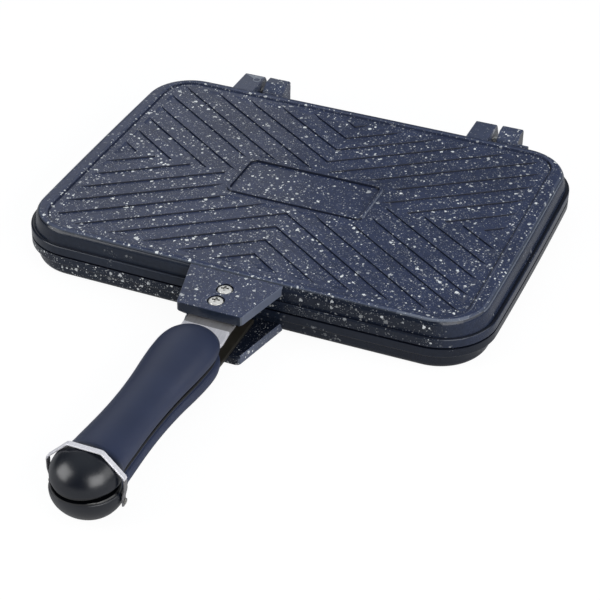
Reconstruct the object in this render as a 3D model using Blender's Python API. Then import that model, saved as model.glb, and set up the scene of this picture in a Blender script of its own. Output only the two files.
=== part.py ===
"""Stovetop sandwich toaster: two hinged cast pans, split handle and wire-strip latch.

Lengths are in metres.  X runs along the pans, Y from the handle (minus) to the
hinges (plus), Z up.  The origin is the centre of the lower pan's underside.
"""
import math

import bmesh
import bpy
from mathutils import Matrix, Vector

# Overall closed body
body_height = 0.031
rim_gap = 0.0003
seat_gap = 0.0003
embed = 0.0015
merge_distance = 0.000001

# Pan shell: sizes are half sizes and run inward from the rim flange
flange_half = (0.1416, 0.1032)
flange_radius = 0.0325
flange_height = 0.0047
flange_round = 0.0011
rim_chamfer = 0.0005
wall_steps = (0.0024, 0.0023)
wall_radius_step = 0.0030
wall_drafts = (0.0013, 0.0004)
shoulder_radius = 0.0037
side_bow = 0.0010
border_widths = (0.0105, 0.0061)
border_inner_radius = 0.0180
panel_slope_run = 0.0021
panel_radius_step = 0.0020
panel_depth = 0.0013
tray_walls = (0.0062, 0.0049)
tray_rim_radius = 0.0250
tray_slope_run = 0.0040
tray_fillet = 0.0016
tray_depth = 0.0108
corner_steps = 9
side_steps = 6
shoulder_steps = 4

# Chevron grooves in the outer panels
groove_depth = 0.0010
groove_width = 0.0078
groove_slope_share = 0.706
groove_pitch_inner = 0.0155
groove_pitch_outer = 0.0164
groove_first = 0.0322
groove_margins = (0.0055, 0.0053)
groove_corner_chamfer = 0.0050
plaque_clearance = 0.0034

# Plaque on the lid and rest tablet under the base
plaque_half = (0.0428, 0.0200)
plaque_radius = 0.0048
plaque_foot_spread = 0.0004
plaque_ridge_height = 0.0011
plaque_ridge_width = 0.0017
plaque_field_drop = 0.0003
plaque_corner_steps = 5

# Handle bracket cast on the front of each pan, base value first, then the lid's
bracket_root_half = 0.0277
bracket_tip_half = 0.0196
bracket_reaches = (0.0381, 0.0351)
bracket_corner = 0.0030
bracket_drops = (0.0003, 0.0008)
bracket_thicknesses = (0.0052, 0.0082)
bracket_edge = 0.0005

# Screws and nuts that hold the tangs
screw_setback = 0.0135
screw_spacing = 0.0118
screw_head_radius = 0.00405
screw_head_height = 0.0020
screw_head_rim = 0.0008
screw_head_top_radius = 0.0026
screw_recess_radius = 0.00485
screw_recess_depth = 0.0019
screw_radius = 0.0020
cross_length = 0.0044
cross_width = 0.0010
cross_depth = 0.0009
nut_across_flats = 0.0070
nut_height = 0.0028
screw_tip_proud = 0.0005

# Steel tangs: places are counted from the wall, then from the handle's bend
tang_half_width = 0.0135
tang_thickness = 0.0023
tang_setback = 0.0051
tang_taper_start = 0.0130
tang_taper_run = 0.0180
tang_length = 0.0590
tang_tip_half_width = 0.0075
tang_edge = 0.0003

# Split handle grips, their stations counted from the handle's bend
handle_bend_gap = 0.0060
handle_rise_share = 0.0392
grip_seam_gap = 0.0042
grip_start = -0.0005
grip_steps = (0.0015, 0.0025, 0.0035, 0.0050, 0.0070, 0.0100, 0.0110,
              0.0120, 0.0130, 0.0140, 0.0130, 0.0110, 0.0080, 0.0050)
grip_half_widths = (0.0040, 0.0086, 0.0118, 0.0141, 0.0159, 0.0169, 0.0168, 0.0161,
                    0.0150, 0.0142, 0.0139, 0.0141, 0.0146, 0.0150, 0.0152)
grip_heights = (0.0040, 0.0080, 0.0108, 0.0128, 0.0144, 0.0152, 0.0152, 0.0145,
                0.0136, 0.0129, 0.0126, 0.0128, 0.0132, 0.0136, 0.0138)
grip_height_shares = (0.86, 1.0)
grip_seam_share = 0.87
grip_belly_share = 0.26
ball_seam_share = 0.955
ball_belly_share = 0.12
belly_steps = 3
crown_steps = 14
ball_reach = 0.1300
ball_radii = (0.0187, 0.0180)
ball_heights = (0.0182, 0.0162)
ball_steps = 14
ball_tip_share = 0.35
blend_steps = 5
slot_gap = 0.0003

# Screws that hold the grips to the tangs
grip_screw_setback = 0.0210
grip_screw_spacing = 0.0240
grip_screw_radius = 0.00175
grip_screw_head_radius = 0.0033
grip_screw_head_height = 0.0018
grip_screw_depth = 0.0062

# Hinge: its axis behind the wall and under the closed lid's top
hinge_setback = 0.0126
hinge_depth = 0.0075
pin_radius = 0.0020
pin_chamfer = 0.0004
lug_bevel = 0.0006
lug_inner_gap = 0.0032
blind_wall = 0.0022
pin_inset = 0.0006

# Hinge lugs: width of each, and the inner side of the right and left pair
lid_lug_widths = (0.0137, 0.0135)
base_lug_widths = (0.0141, 0.0134)
left_pair_inset = 0.0516
right_pair_inset = 0.0739
lug_gaps = (0.0032, 0.0035)

# Lug profiles: distances from the hinge axis, back and up
lug_root = 0.0145
lid_lug_crown = 0.0072
lid_lug_root_top = 0.0160
lid_lug_back = 0.0070
lid_lug_chamfer = 0.0017
lid_heel_back = 0.0120
lid_heel_top = 0.0045
lid_heel_bottom = 0.0080
lid_lug_belly = 0.0055
lid_heel_front = 0.0025
lid_heel_rise = 0.0005
base_lug_crown = 0.0075
base_lug_back = 0.0070
base_lug_chamfer = 0.0016
base_lug_top_front = 0.0010
base_lug_waist = 0.0069
base_lug_waist_rise = 0.0037
base_lug_front = 0.0091
base_lug_front_drop = 0.0005
base_lug_bottom = 0.0205
base_lug_arm_drop = 0.0085
base_lug_ledge = 0.0089

# Stop cast beside the right base lug
foot_step = 0.0068
foot_front = 0.0085
foot_back = 0.0049
foot_top = 0.0033
foot_chamfer = 0.0012
foot_shelf = 0.0097
foot_bottom = 0.0195
foot_toe_rise = 0.0010
foot_slope = 0.0035

# Latch
bail_width = 0.0035
bail_thickness = 0.0010
bail_top_half = 0.0094
bail_clearance = 0.0003
bail_shoulder_half = 0.0212
bail_shoulder_drop = 0.0118
bail_knee_drop = 0.0190
bail_foot_half = 0.0200
bail_foot_drop = 0.0240
bail_tail = 0.0028
latch_pin_drop = 0.0068
latch_pin_radius = 0.0008
latch_pin_gap = 0.00025
latch_pin_head_radius = 0.0015
latch_pin_head_height = 0.0006
latch_pin_depth = 0.0050
latch_pin_crown_share = 0.6

# Finishes: base colour, metallic share and roughness
coating = ((0.060, 0.068, 0.095), 0.0, 0.45)
grip_plastic = ((0.030, 0.034, 0.055), 0.0, 0.40)
bright_steel = ((0.62, 0.61, 0.60), 1.0, 0.25)
strip_steel = ((0.70, 0.69, 0.68), 1.0, 0.30)

# Shading
smooth_angle = math.radians(32)
round_steps = 32
small_round_steps = 20

upper = 1
lower = -1


def of_side(values, side):
    """The base's or the lid's value of a pair."""
    return values[1] if side == upper else values[0]


def inset(half, amount):
    return (half[0] - amount, half[1] - amount)


def drawn_in(half, amounts):
    """Half sizes drawn in by one amount across and one along."""
    return (half[0] - amounts[0], half[1] - amounts[1])


# Sizes that follow from the ones above
mid_height = body_height / 2
pan_height = (body_height - rim_gap) / 2
wall_half = drawn_in(flange_half, wall_steps)
wall_radius = flange_radius - wall_radius_step
border_inner_half = drawn_in(wall_half, border_widths)
panel_half = inset(border_inner_half, panel_slope_run)
panel_radius = border_inner_radius - panel_radius_step
tray_rim_half = drawn_in(wall_half, tray_walls)
tray_floor_half = inset(tray_rim_half, tray_slope_run)
tray_floor_radius = tray_rim_radius - tray_slope_run
groove_field_half = drawn_in(panel_half, groove_margins)
groove_corner_cut = sum(groove_field_half) - groove_corner_chamfer
screw_stations = (wall_half[1] + screw_setback,
                  wall_half[1] + screw_setback + screw_spacing)
tang_inner_end = wall_half[1] + tang_setback
handle_bend = wall_half[1] + max(bracket_reaches) + handle_bend_gap
grip_screw_stations = (handle_bend + grip_screw_setback,
                       handle_bend + grip_screw_setback + grip_screw_spacing)
ball_centre = handle_bend + ball_reach
hinge_y = wall_half[1] + hinge_setback
hinge_z = body_height - hinge_depth


def clear_scene():
    """Remove everything a new file opens with."""
    for item in list(bpy.data.objects):
        bpy.data.objects.remove(item)


def height(side, distance):
    """Z of a point this far from the parting plane of the closed pans."""
    return mid_height + side * (rim_gap / 2 + distance)


def make_material(name, finish):
    """One material per piece, from the finish that the piece has."""
    color, metallic, roughness = finish
    material = bpy.data.materials.new(name + "_finish")
    material.use_nodes = True
    shader = material.node_tree.nodes["Principled BSDF"]
    shader.inputs["Base Color"].default_value = (*color, 1)
    shader.inputs["Metallic"].default_value = metallic
    shader.inputs["Roughness"].default_value = roughness
    return material


def to_object(name, mesh_data, finish=None):
    """Turn a bmesh into an object whose faces all point outward."""
    bmesh.ops.recalc_face_normals(mesh_data, faces=mesh_data.faces[:])
    mesh = bpy.data.meshes.new(name)
    mesh_data.to_mesh(mesh)
    mesh_data.free()
    item = bpy.data.objects.new(name, mesh)
    bpy.context.scene.collection.objects.link(item)
    if finish is not None:
        mesh.materials.append(make_material(name, finish))
    return item


def shade(item):
    """Smooth the round faces and keep the edges sharp."""
    mesh = item.data
    mesh.shade_smooth()
    mesh.set_sharp_from_angle(angle=smooth_angle)


def combine(item, tool, operation):
    """Apply a Boolean with a helper object and drop the helper."""
    modifier = item.modifiers.new("combine", "BOOLEAN")
    modifier.operation = operation
    modifier.solver = "EXACT"
    modifier.object = tool
    bpy.context.view_layer.update()
    graph = bpy.context.evaluated_depsgraph_get()
    result = bpy.data.meshes.new_from_object(item.evaluated_get(graph))
    item.modifiers.clear()
    old = item.data
    item.data = result
    bpy.data.meshes.remove(old)
    used = tool.data
    bpy.data.objects.remove(tool)
    bpy.data.meshes.remove(used)


def tidy(item):
    """Merge coincident points left by the Booleans."""
    mesh_data = bmesh.new()
    mesh_data.from_mesh(item.data)
    bmesh.ops.remove_doubles(mesh_data, verts=mesh_data.verts[:], dist=merge_distance)
    bmesh.ops.recalc_face_normals(mesh_data, faces=mesh_data.faces[:])
    mesh_data.to_mesh(item.data)
    mesh_data.free()


def loft(rings):
    """Closed surface through rings of equally many points, capped at both ends."""
    mesh_data = bmesh.new()
    rows = [[mesh_data.verts.new(point) for point in ring] for ring in rings]
    count = len(rows[0])
    for row, after in zip(rows, rows[1:]):
        for index in range(count):
            following = (index + 1) % count
            mesh_data.faces.new((row[index], row[following], after[following], after[index]))
    mesh_data.faces.new(rows[0])
    mesh_data.faces.new(rows[-1])
    return mesh_data


def prism(outline, start, end, place):
    """Closed prism of a flat outline; place(u, v, w) gives the point in space."""
    return loft([[place(u, v, start) for u, v in outline],
                 [place(u, v, end) for u, v in outline]])


def along_x(u, v, w):
    return Vector((w, u, v))


def along_y(u, v, w):
    return Vector((u, w, v))


def along_z(u, v, w):
    return Vector((u, v, w))


def circle(centre, radius, steps):
    return [(centre[0] + radius * math.cos(2 * math.pi * step / steps),
             centre[1] + radius * math.sin(2 * math.pi * step / steps))
            for step in range(steps)]


def rounded_outline(half, radius, bow, corner, side):
    """Rounded rectangle, its sides bowed outward by the given amount."""
    half_x, half_y = half
    points = []
    quarters = ((1, 1, 0), (-1, 1, 1), (-1, -1, 2), (1, -1, 3))
    for sign_x, sign_y, quarter in quarters:
        centre = (sign_x * (half_x - radius), sign_y * (half_y - radius))
        for step in range(corner + 1):
            angle = math.pi / 2 * (quarter + step / corner)
            points.append((centre[0] + radius * math.cos(angle),
                           centre[1] + radius * math.sin(angle)))
        last = points[-1]
        if quarter % 2 == 0:
            target = (-last[0], last[1])
        else:
            target = (last[0], -last[1])
        for step in range(1, side):
            share = step / side
            points.append((last[0] + share * (target[0] - last[0]),
                           last[1] + share * (target[1] - last[1])))
    return [bowed(point, half, radius, bow) for point in points]


def bowed(point, half, radius, bow):
    """Push a point outward most at the middle of its side, not at the corners."""
    x, y = point
    run_x = half[0] - radius / 2
    run_y = half[1] - radius / 2
    out_x = bow * max(0.0, 1 - (y / run_y) ** 2) * x / half[0]
    out_y = bow * max(0.0, 1 - (x / run_x) ** 2) * y / half[1]
    return (x + out_x - bow * x / half[0], y + out_y - bow * y / half[1])


def pan_ring(half, radius, bow, side, distance):
    level = height(side, distance)
    return [Vector((x, y, level))
            for x, y in rounded_outline(half, radius, bow, corner_steps, side_steps)]


def pan_shell(name, side):
    """Pan with its inner tray, rim flange, wall, shoulder, border and outer panel."""
    wall_top = pan_height - shoulder_radius
    top_half = (wall_half[0] - wall_drafts[0], wall_half[1] - wall_drafts[1])
    rings = [
        pan_ring(inset(tray_floor_half, tray_fillet), tray_floor_radius, 0, side, tray_depth),
        pan_ring(tray_floor_half, tray_floor_radius, 0, side, tray_depth - tray_fillet),
        pan_ring(tray_rim_half, tray_rim_radius, 0, side, 0),
        pan_ring(inset(flange_half, rim_chamfer), flange_radius, side_bow, side, 0),
        pan_ring(flange_half, flange_radius, side_bow, side, rim_chamfer),
        pan_ring(flange_half, flange_radius, side_bow, side, flange_height - flange_round),
        pan_ring(inset(flange_half, flange_round / 3), flange_radius, side_bow, side,
                 flange_height - flange_round / 3),
        pan_ring(inset(flange_half, flange_round), flange_radius, side_bow, side,
                 flange_height),
        pan_ring(wall_half, wall_radius, side_bow, side, flange_height + rim_chamfer / 2),
    ]
    for step in range(shoulder_steps + 1):
        angle = math.pi / 2 * step / shoulder_steps
        inward = shoulder_radius * (1 - math.cos(angle))
        rings.append(pan_ring(inset(top_half, inward), wall_radius - inward,
                              side_bow * (1 - step / shoulder_steps), side,
                              wall_top + shoulder_radius * math.sin(angle)))
    rings.append(pan_ring(border_inner_half, border_inner_radius, 0, side, pan_height))
    rings.append(pan_ring(panel_half, panel_radius, 0, side, pan_height - panel_depth))
    return to_object(name, loft(rings), coating)


def clip(polygon, normal, limit):
    """Part of a convex polygon where the dot product with normal is under limit."""
    result = []
    for index, point in enumerate(polygon):
        before = polygon[index - 1]
        now = limit - normal[0] * point[0] - normal[1] * point[1]
        then = limit - normal[0] * before[0] - normal[1] * before[1]
        if (now >= 0) != (then >= 0):
            share = then / (then - now)
            result.append((before[0] + share * (point[0] - before[0]),
                           before[1] + share * (point[1] - before[1])))
        if now >= 0:
            result.append(point)
    return result


def groove_offsets():
    """Where each groove's centre line would cross the Y axis, from edge to edge."""
    offsets = []
    place = groove_first
    while place < groove_field_half[1]:
        offsets.append(place)
        place += groove_pitch_inner
    lowest = -groove_slope_share * groove_field_half[0]
    place = groove_first - groove_pitch_inner
    while place > lowest:
        offsets.append(place)
        place -= groove_pitch_outer
    return offsets


def groove_arm(offset):
    """Outline of one groove in the quarter of the panel where x and y are positive."""
    field_x, field_y = groove_field_half
    low = offset - groove_width / 2
    high = offset + groove_width / 2
    rise = groove_slope_share * field_x
    arm = [(0, low), (field_x, low + rise), (field_x, high + rise), (0, high)]
    arm = clip(arm, (0, 1), field_y)
    if arm:
        arm = clip(arm, (1, 1), groove_corner_cut)
    if arm:
        arm = clip(arm, (0, -1), 0)
    stop_x = plaque_half[0] + plaque_clearance
    stop_y = plaque_half[1] + plaque_clearance
    if arm and offset + groove_slope_share * stop_x > stop_y:
        arm = clip(arm, (0, -1), -stop_y)
    elif arm:
        arm = clip(arm, (-1, 0), -stop_x)
    return arm if len(arm) > 2 else []


def groove_cutter(side):
    """All grooves of one panel as closed prisms that reach out of the panel."""
    mesh_data = bmesh.new()
    panel_level = pan_height - panel_depth
    floor_level = height(side, panel_level - groove_depth)
    reach = side * (panel_depth + groove_depth + embed)
    for offset in groove_offsets():
        arm = groove_arm(offset)
        if not arm:
            continue
        for sign_x in (1, -1):
            for sign_y in (1, -1):
                points = [mesh_data.verts.new((sign_x * x, sign_y * y, floor_level))
                          for x, y in arm]
                mesh_data.faces.new(points)
    bmesh.ops.remove_doubles(mesh_data, verts=mesh_data.verts[:], dist=merge_distance)
    bmesh.ops.recalc_face_normals(mesh_data, faces=mesh_data.faces[:])
    floor_faces = mesh_data.faces[:]
    grown = bmesh.ops.extrude_face_region(mesh_data, geom=floor_faces,
                                          use_keep_orig=True)["geom"]
    moved = [item for item in grown if isinstance(item, bmesh.types.BMVert)]
    bmesh.ops.translate(mesh_data, verts=moved, vec=(0, 0, reach))
    return to_object("groove_cutter", mesh_data)


def raised_block(half, radius, side, bottom, top, spread):
    """Low rounded block on a panel, wider at its foot."""
    foot = (half[0] + spread, half[1] + spread)
    rings = []
    for outline_half, outline_radius, distance in ((foot, radius + spread, bottom),
                                                   (half, radius, top)):
        level = height(side, distance)
        rings.append([Vector((x, y, level)) for x, y in
                      rounded_outline(outline_half, outline_radius, 0,
                                      plaque_corner_steps, 1)])
    return loft(rings)


def add_plaque(pan):
    """Bare name plate: a field inside a thin raised ridge."""
    panel_level = pan_height - panel_depth
    block = raised_block(plaque_half, plaque_radius, upper, panel_level - embed / 3,
                         panel_level + plaque_ridge_height, plaque_foot_spread)
    combine(pan, to_object("plaque_block", block), "UNION")
    field_half = inset(plaque_half, plaque_ridge_width)
    field = raised_block(field_half, plaque_radius - plaque_ridge_width / 2, upper,
                         panel_level - plaque_field_drop,
                         panel_level + plaque_ridge_height + embed, plaque_foot_spread / 8)
    combine(pan, to_object("plaque_field", field), "DIFFERENCE")


def add_tablet(pan):
    """Flat tablet under the base, level with the border, that the pan rests on."""
    panel_level = pan_height - panel_depth
    block = raised_block(plaque_half, plaque_radius, lower, panel_level - embed / 3,
                         pan_height, plaque_foot_spread)
    combine(pan, to_object("tablet", block), "UNION")


def bracket_outline(front):
    """Tapered plate with rounded front corners, seen from above."""
    root = wall_half[1] - embed
    points = [(bracket_root_half, -root)]
    for sign in (1, -1):
        for step in range(corner_steps):
            turn = math.pi / 2 * step / (corner_steps - 1)
            if sign < 0:
                turn = math.pi / 2 - turn
            points.append((sign * (bracket_tip_half - bracket_corner
                                   + bracket_corner * math.cos(turn)),
                           -(front - bracket_corner
                             + bracket_corner * math.sin(turn))))
    points.append((-bracket_root_half, -root))
    return points


def add_bracket(pan, side):
    """Plate for the tang, with bores and sunk seats for its two screws."""
    top = pan_height - of_side(bracket_drops, side)
    bottom = top - of_side(bracket_thicknesses, side)
    front = wall_half[1] + of_side(bracket_reaches, side)
    outline = bracket_outline(front)
    centre_y = -(front + wall_half[1]) / 2
    shrink_x = 1 - bracket_edge / bracket_tip_half
    shrink_y = 1 - bracket_edge / (front + centre_y)
    narrow = [(x * shrink_x, centre_y + (y - centre_y) * shrink_y) for x, y in outline]
    rings = []
    for shape, distance in ((narrow, bottom), (outline, bottom + bracket_edge),
                            (outline, top - bracket_edge), (narrow, top)):
        level = height(side, distance)
        rings.append([Vector((x, y, level)) for x, y in shape])
    combine(pan, to_object("bracket", loft(rings)), "UNION")
    for station in screw_stations:
        centre = (0, -station)
        bore = prism(circle(centre, screw_radius + seat_gap, small_round_steps),
                     height(side, bottom - embed), height(side, top + embed), along_z)
        combine(pan, to_object("bore", bore), "DIFFERENCE")
        seat = prism(circle(centre, screw_recess_radius, round_steps),
                     height(side, top - screw_recess_depth), height(side, top + embed),
                     along_z)
        combine(pan, to_object("seat", seat), "DIFFERENCE")


def from_hinge(points):
    """Profile points given back from and above the hinge axis."""
    return [(hinge_y + back, hinge_z + up) for back, up in points]


def lid_lug_profile():
    """Rounded ear whose heel stops the lid on the base's back flange."""
    return from_hinge((
        (-lid_lug_root_top, lid_lug_crown), (lid_lug_back - lid_lug_chamfer, lid_lug_crown),
        (lid_lug_back, lid_lug_crown - lid_lug_chamfer), (lid_heel_back, -lid_heel_top),
        (lid_heel_back, -lid_heel_bottom),
        (lid_heel_front, lid_heel_rise - lid_heel_bottom),
        (-lid_lug_belly, -lid_lug_belly), (-lug_root, -lid_lug_belly)))


def base_lug_profile():
    """Arm that rises from the base's wall behind the lid's back wall."""
    return from_hinge((
        (-lug_root, -base_lug_bottom), (-lid_lug_belly, -base_lug_bottom),
        (base_lug_back, -base_lug_arm_drop), (base_lug_back, base_lug_crown - base_lug_chamfer),
        (base_lug_back - base_lug_chamfer, base_lug_crown),
        (-base_lug_top_front, base_lug_crown), (-base_lug_waist, base_lug_waist_rise),
        (-base_lug_front, -base_lug_front_drop), (-base_lug_front, -base_lug_ledge),
        (-lug_root, -base_lug_ledge)))


def foot_profile():
    """Low stop beside the right base lug."""
    return from_hinge((
        (-lug_root, -foot_bottom), (foot_chamfer - foot_front, foot_toe_rise - foot_bottom),
        (-foot_back, foot_slope - foot_bottom), (-foot_back, foot_top - foot_chamfer),
        (-foot_back - foot_chamfer, foot_top), (-foot_front, foot_top),
        (-foot_front, -foot_shelf), (-lug_root, -foot_shelf)))


def lug_spans(side):
    """Start and end across of the left and the right lug."""
    left = left_pair_inset - flange_half[0]
    right = flange_half[0] - right_pair_inset
    spans = []
    for start, lid_width, gap, base_width in zip((left, right), lid_lug_widths, lug_gaps,
                                                 base_lug_widths):
        if side == lower:
            start += lid_width + gap
        spans.append((start, start + (lid_width if side == upper else base_width)))
    return spans


def lug_solid(name, profile, span, bevel):
    mesh_data = prism(profile, span[0], span[1], along_x)
    bmesh.ops.recalc_face_normals(mesh_data, faces=mesh_data.faces[:])
    if bevel:
        edges = [edge for edge in mesh_data.edges
                 if min(vert.co.y for vert in edge.verts) > wall_half[1] + bevel]
        bmesh.ops.bevel(mesh_data, geom=edges, offset=bevel, segments=2, profile=0.5,
                        affect="EDGES", clamp_overlap=True)
    return to_object(name, mesh_data)


def add_lugs(pan, spans, profile, blind):
    """Hinge lugs on the back wall, bored for the pins."""
    for start, end in spans:
        combine(pan, lug_solid("lug", profile, (start, end), lug_bevel), "UNION")
        far = end - blind_wall if blind else end + embed
        bore = prism(circle((hinge_y, hinge_z), pin_radius + seat_gap, round_steps),
                     start - embed, far, along_x)
        combine(pan, to_object("bore", bore), "DIFFERENCE")


def make_upper_pan():
    pan = pan_shell("upper_pan", upper)
    add_plaque(pan)
    combine(pan, groove_cutter(upper), "DIFFERENCE")
    add_bracket(pan, upper)
    add_lugs(pan, lug_spans(upper), lid_lug_profile(), False)
    tidy(pan)
    shade(pan)


def make_lower_pan():
    pan = pan_shell("lower_pan", lower)
    add_tablet(pan)
    combine(pan, groove_cutter(lower), "DIFFERENCE")
    add_bracket(pan, lower)
    right_end = lug_spans(lower)[1][1]
    foot = lug_solid("foot", foot_profile(), (right_end - embed, right_end + foot_step), 0)
    combine(pan, foot, "UNION")
    add_lugs(pan, lug_spans(lower), base_lug_profile(), True)
    tidy(pan)
    shade(pan)


def round_bar(name, stations, place, finish, steps):
    """Turned piece: rings of given radius at given positions along its axis."""
    rings = []
    for position, radius in stations:
        rings.append([place(u, v, position) for u, v in circle((0, 0), radius, steps)])
    return to_object(name, loft(rings), finish)


def make_hinge_pins():
    for name, lid_span, base_span in zip(("hinge_pin_left", "hinge_pin_right"),
                                         lug_spans(upper), lug_spans(lower)):
        start = lid_span[0] + pin_inset
        end = base_span[1] - blind_wall - seat_gap
        stations = ((start, pin_radius - pin_chamfer), (start + pin_chamfer, pin_radius),
                    (end - pin_chamfer, pin_radius), (end, pin_radius - pin_chamfer))
        pin = round_bar(name, stations,
                        lambda u, v, w: Vector((w, hinge_y + u, hinge_z + v)),
                        bright_steel, round_steps)
        shade(pin)


def seam_level(distance):
    """Height of the handle's middle plane at this distance in front of the centre."""
    return mid_height + handle_rise_share * max(0.0, distance - handle_bend)


def tang_levels(side):
    """Near and far faces of a tang, counted from the middle plane."""
    far = (rim_gap / 2 + pan_height - of_side(bracket_drops, side)
           - of_side(bracket_thicknesses, side) - seat_gap)
    return far - tang_thickness, far


def strip_ring(distance, half_width, near, far, side, edge):
    level = seam_level(distance)
    corners = ((-half_width, near + edge), (-half_width + edge, near),
               (half_width - edge, near), (half_width, near + edge),
               (half_width, far - edge), (half_width - edge, far),
               (-half_width + edge, far), (-half_width, far - edge))
    return [Vector((x, -distance, level + side * z)) for x, z in corners]


def tang_outline(extra):
    """Stations along the tang with its half width there."""
    taper = handle_bend + tang_taper_start
    return ((tang_inner_end - extra, tang_half_width + extra),
            (handle_bend, tang_half_width + extra),
            (taper, tang_half_width + extra),
            (taper + tang_taper_run, tang_tip_half_width + extra),
            (handle_bend + tang_length + extra, tang_tip_half_width + extra))


def make_tang(name, side):
    near, far = tang_levels(side)
    rings = [strip_ring(distance, half_width, near, far, side, tang_edge)
             for distance, half_width in tang_outline(0)]
    tang = to_object(name, loft(rings), strip_steel)
    for station in screw_stations:
        bore = prism(circle((0, -station), screw_radius + seat_gap, small_round_steps),
                     mid_height, mid_height + side * (far + embed), along_z)
        combine(tang, to_object("bore", bore), "DIFFERENCE")
    for station in grip_screw_stations:
        level = seam_level(station)
        bore = prism(circle((0, -station), grip_screw_radius + seat_gap, small_round_steps),
                     level, level + side * (far + embed), along_z)
        combine(tang, to_object("bore", bore), "DIFFERENCE")
    tidy(tang)
    shade(tang)


def grip_sections(side):
    """Distance, half width, height and the two shape shares of each section."""
    share = of_side(grip_height_shares, side)
    sections = []
    distance = handle_bend + grip_start
    for step, width, rise in zip((0, *grip_steps), grip_half_widths, grip_heights):
        distance += step
        sections.append((distance, width, rise * share, grip_seam_share, grip_belly_share))
    radius = of_side(ball_radii, side)
    first = -math.acos(grip_half_widths[-1] / radius)
    last = math.pi / 2
    for step in range(1, ball_steps + 1):
        angle = first + (last - first) * step / (ball_steps + ball_tip_share)
        blend = min(1.0, step / blend_steps)
        sections.append((ball_centre + radius * math.sin(angle),
                         radius * math.cos(angle),
                         of_side(ball_heights, side) * math.cos(angle),
                         grip_seam_share + blend * (ball_seam_share - grip_seam_share),
                         grip_belly_share + blend * (ball_belly_share - grip_belly_share)))
    return sections


def half_section(half_width, rise, seam_share, belly_share):
    """Right half of a section, from the seam edge out over the belly to the crown."""
    points = []
    belly = rise * belly_share
    for step in range(belly_steps):
        angle = math.pi / 2 * step / belly_steps
        points.append((half_width * (seam_share + (1 - seam_share) * math.sin(angle)),
                       belly * (1 - math.cos(angle))))
    for step in range(crown_steps // 2 + 1):
        angle = math.pi * step / crown_steps
        points.append((half_width * math.cos(angle),
                       belly + (rise - belly) * math.sin(angle)))
    return points


def make_grip(name, side):
    rings = []
    for distance, half_width, rise, seam_share, belly_share in grip_sections(side):
        base = seam_level(distance)
        right = half_section(half_width, rise, seam_share, belly_share)
        outline = right + [(-x, z) for x, z in reversed(right[:-1])]
        rings.append([Vector((x, -distance, base + side * (grip_seam_gap / 2 + z)))
                      for x, z in outline])
    grip = to_object(name, loft(rings), grip_plastic)
    near, far = tang_levels(side)
    slot = [strip_ring(distance, half_width, near - slot_gap, far + slot_gap, side, 0)
            for distance, half_width in tang_outline(slot_gap)]
    slot = [[ring[index] for index in (0, 3, 4, 7)] for ring in slot]
    combine(grip, to_object("slot", loft(slot)), "DIFFERENCE")
    for station in grip_screw_stations:
        level = seam_level(station)
        head = prism(circle((0, -station), grip_screw_head_radius + seat_gap,
                            small_round_steps),
                     level, level + side * (near + slot_gap), along_z)
        combine(grip, to_object("head_hole", head), "DIFFERENCE")
        shank = prism(circle((0, -station), grip_screw_radius + seat_gap,
                             small_round_steps),
                      level + side * near,
                      level + side * (far + grip_screw_depth + seat_gap), along_z)
        combine(grip, to_object("shank_hole", shank), "DIFFERENCE")
    if side == lower:
        pivot = latch_pivot()
        for sign in (1, -1):
            hole = prism(circle((pivot.y, pivot.z), latch_pin_radius + latch_pin_gap,
                                small_round_steps),
                         sign * (bail_foot_half - bail_thickness - latch_pin_depth
                                 - latch_pin_gap),
                         sign * bail_foot_half, along_x)
            combine(grip, to_object("pivot_hole", hole), "DIFFERENCE")
    tidy(grip)
    shade(grip)


def make_bracket_screw(name, side, station):
    """Domed screw with a cross recess, its head sunk in the bracket."""
    seat = (rim_gap / 2 + pan_height - of_side(bracket_drops, side) - screw_recess_depth
            + seat_gap)
    near, _ = tang_levels(side)
    tip = near - seat_gap - nut_height - screw_tip_proud
    chamfer = screw_radius / 6
    stations = ((tip, screw_radius - chamfer), (tip + chamfer, screw_radius),
                (seat, screw_radius), (seat, screw_head_radius),
                (seat + screw_head_rim, screw_head_radius),
                (seat + (screw_head_rim + 2 * screw_head_height) / 3,
                 (screw_head_radius * 2 + screw_head_top_radius) / 3),
                (seat + screw_head_height, screw_head_top_radius))
    screw = round_bar(name, stations,
                      lambda u, v, w: Vector((u, v - station, mid_height + side * w)),
                      bright_steel, round_steps)
    top = seat + screw_head_height
    half_length = cross_length / 2
    half_width = cross_width / 2
    for wide, narrow in ((half_length, half_width), (half_width, half_length)):
        outline = [(-wide, -narrow - station), (wide, -narrow - station),
                   (wide, narrow - station), (-wide, narrow - station)]
        recess = prism(outline, mid_height + side * (top - cross_depth),
                       mid_height + side * (top + embed), along_z)
        combine(screw, to_object("cross", recess), "DIFFERENCE")
    tidy(screw)
    shade(screw)


def make_nut(name, side, station):
    near, _ = tang_levels(side)
    radius = nut_across_flats / math.sqrt(3)
    sides = 6
    outline = circle((0, -station), radius, sides)
    nut = to_object(name, prism(outline, mid_height + side * (near - seat_gap),
                                mid_height + side * (near - seat_gap - nut_height),
                                along_z), bright_steel)
    bore = prism(circle((0, -station), screw_radius + seat_gap, small_round_steps),
                 mid_height + side * (near + embed),
                 mid_height + side * (near - nut_height - embed), along_z)
    combine(nut, to_object("bore", bore), "DIFFERENCE")
    tidy(nut)
    shade(nut)


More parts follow.
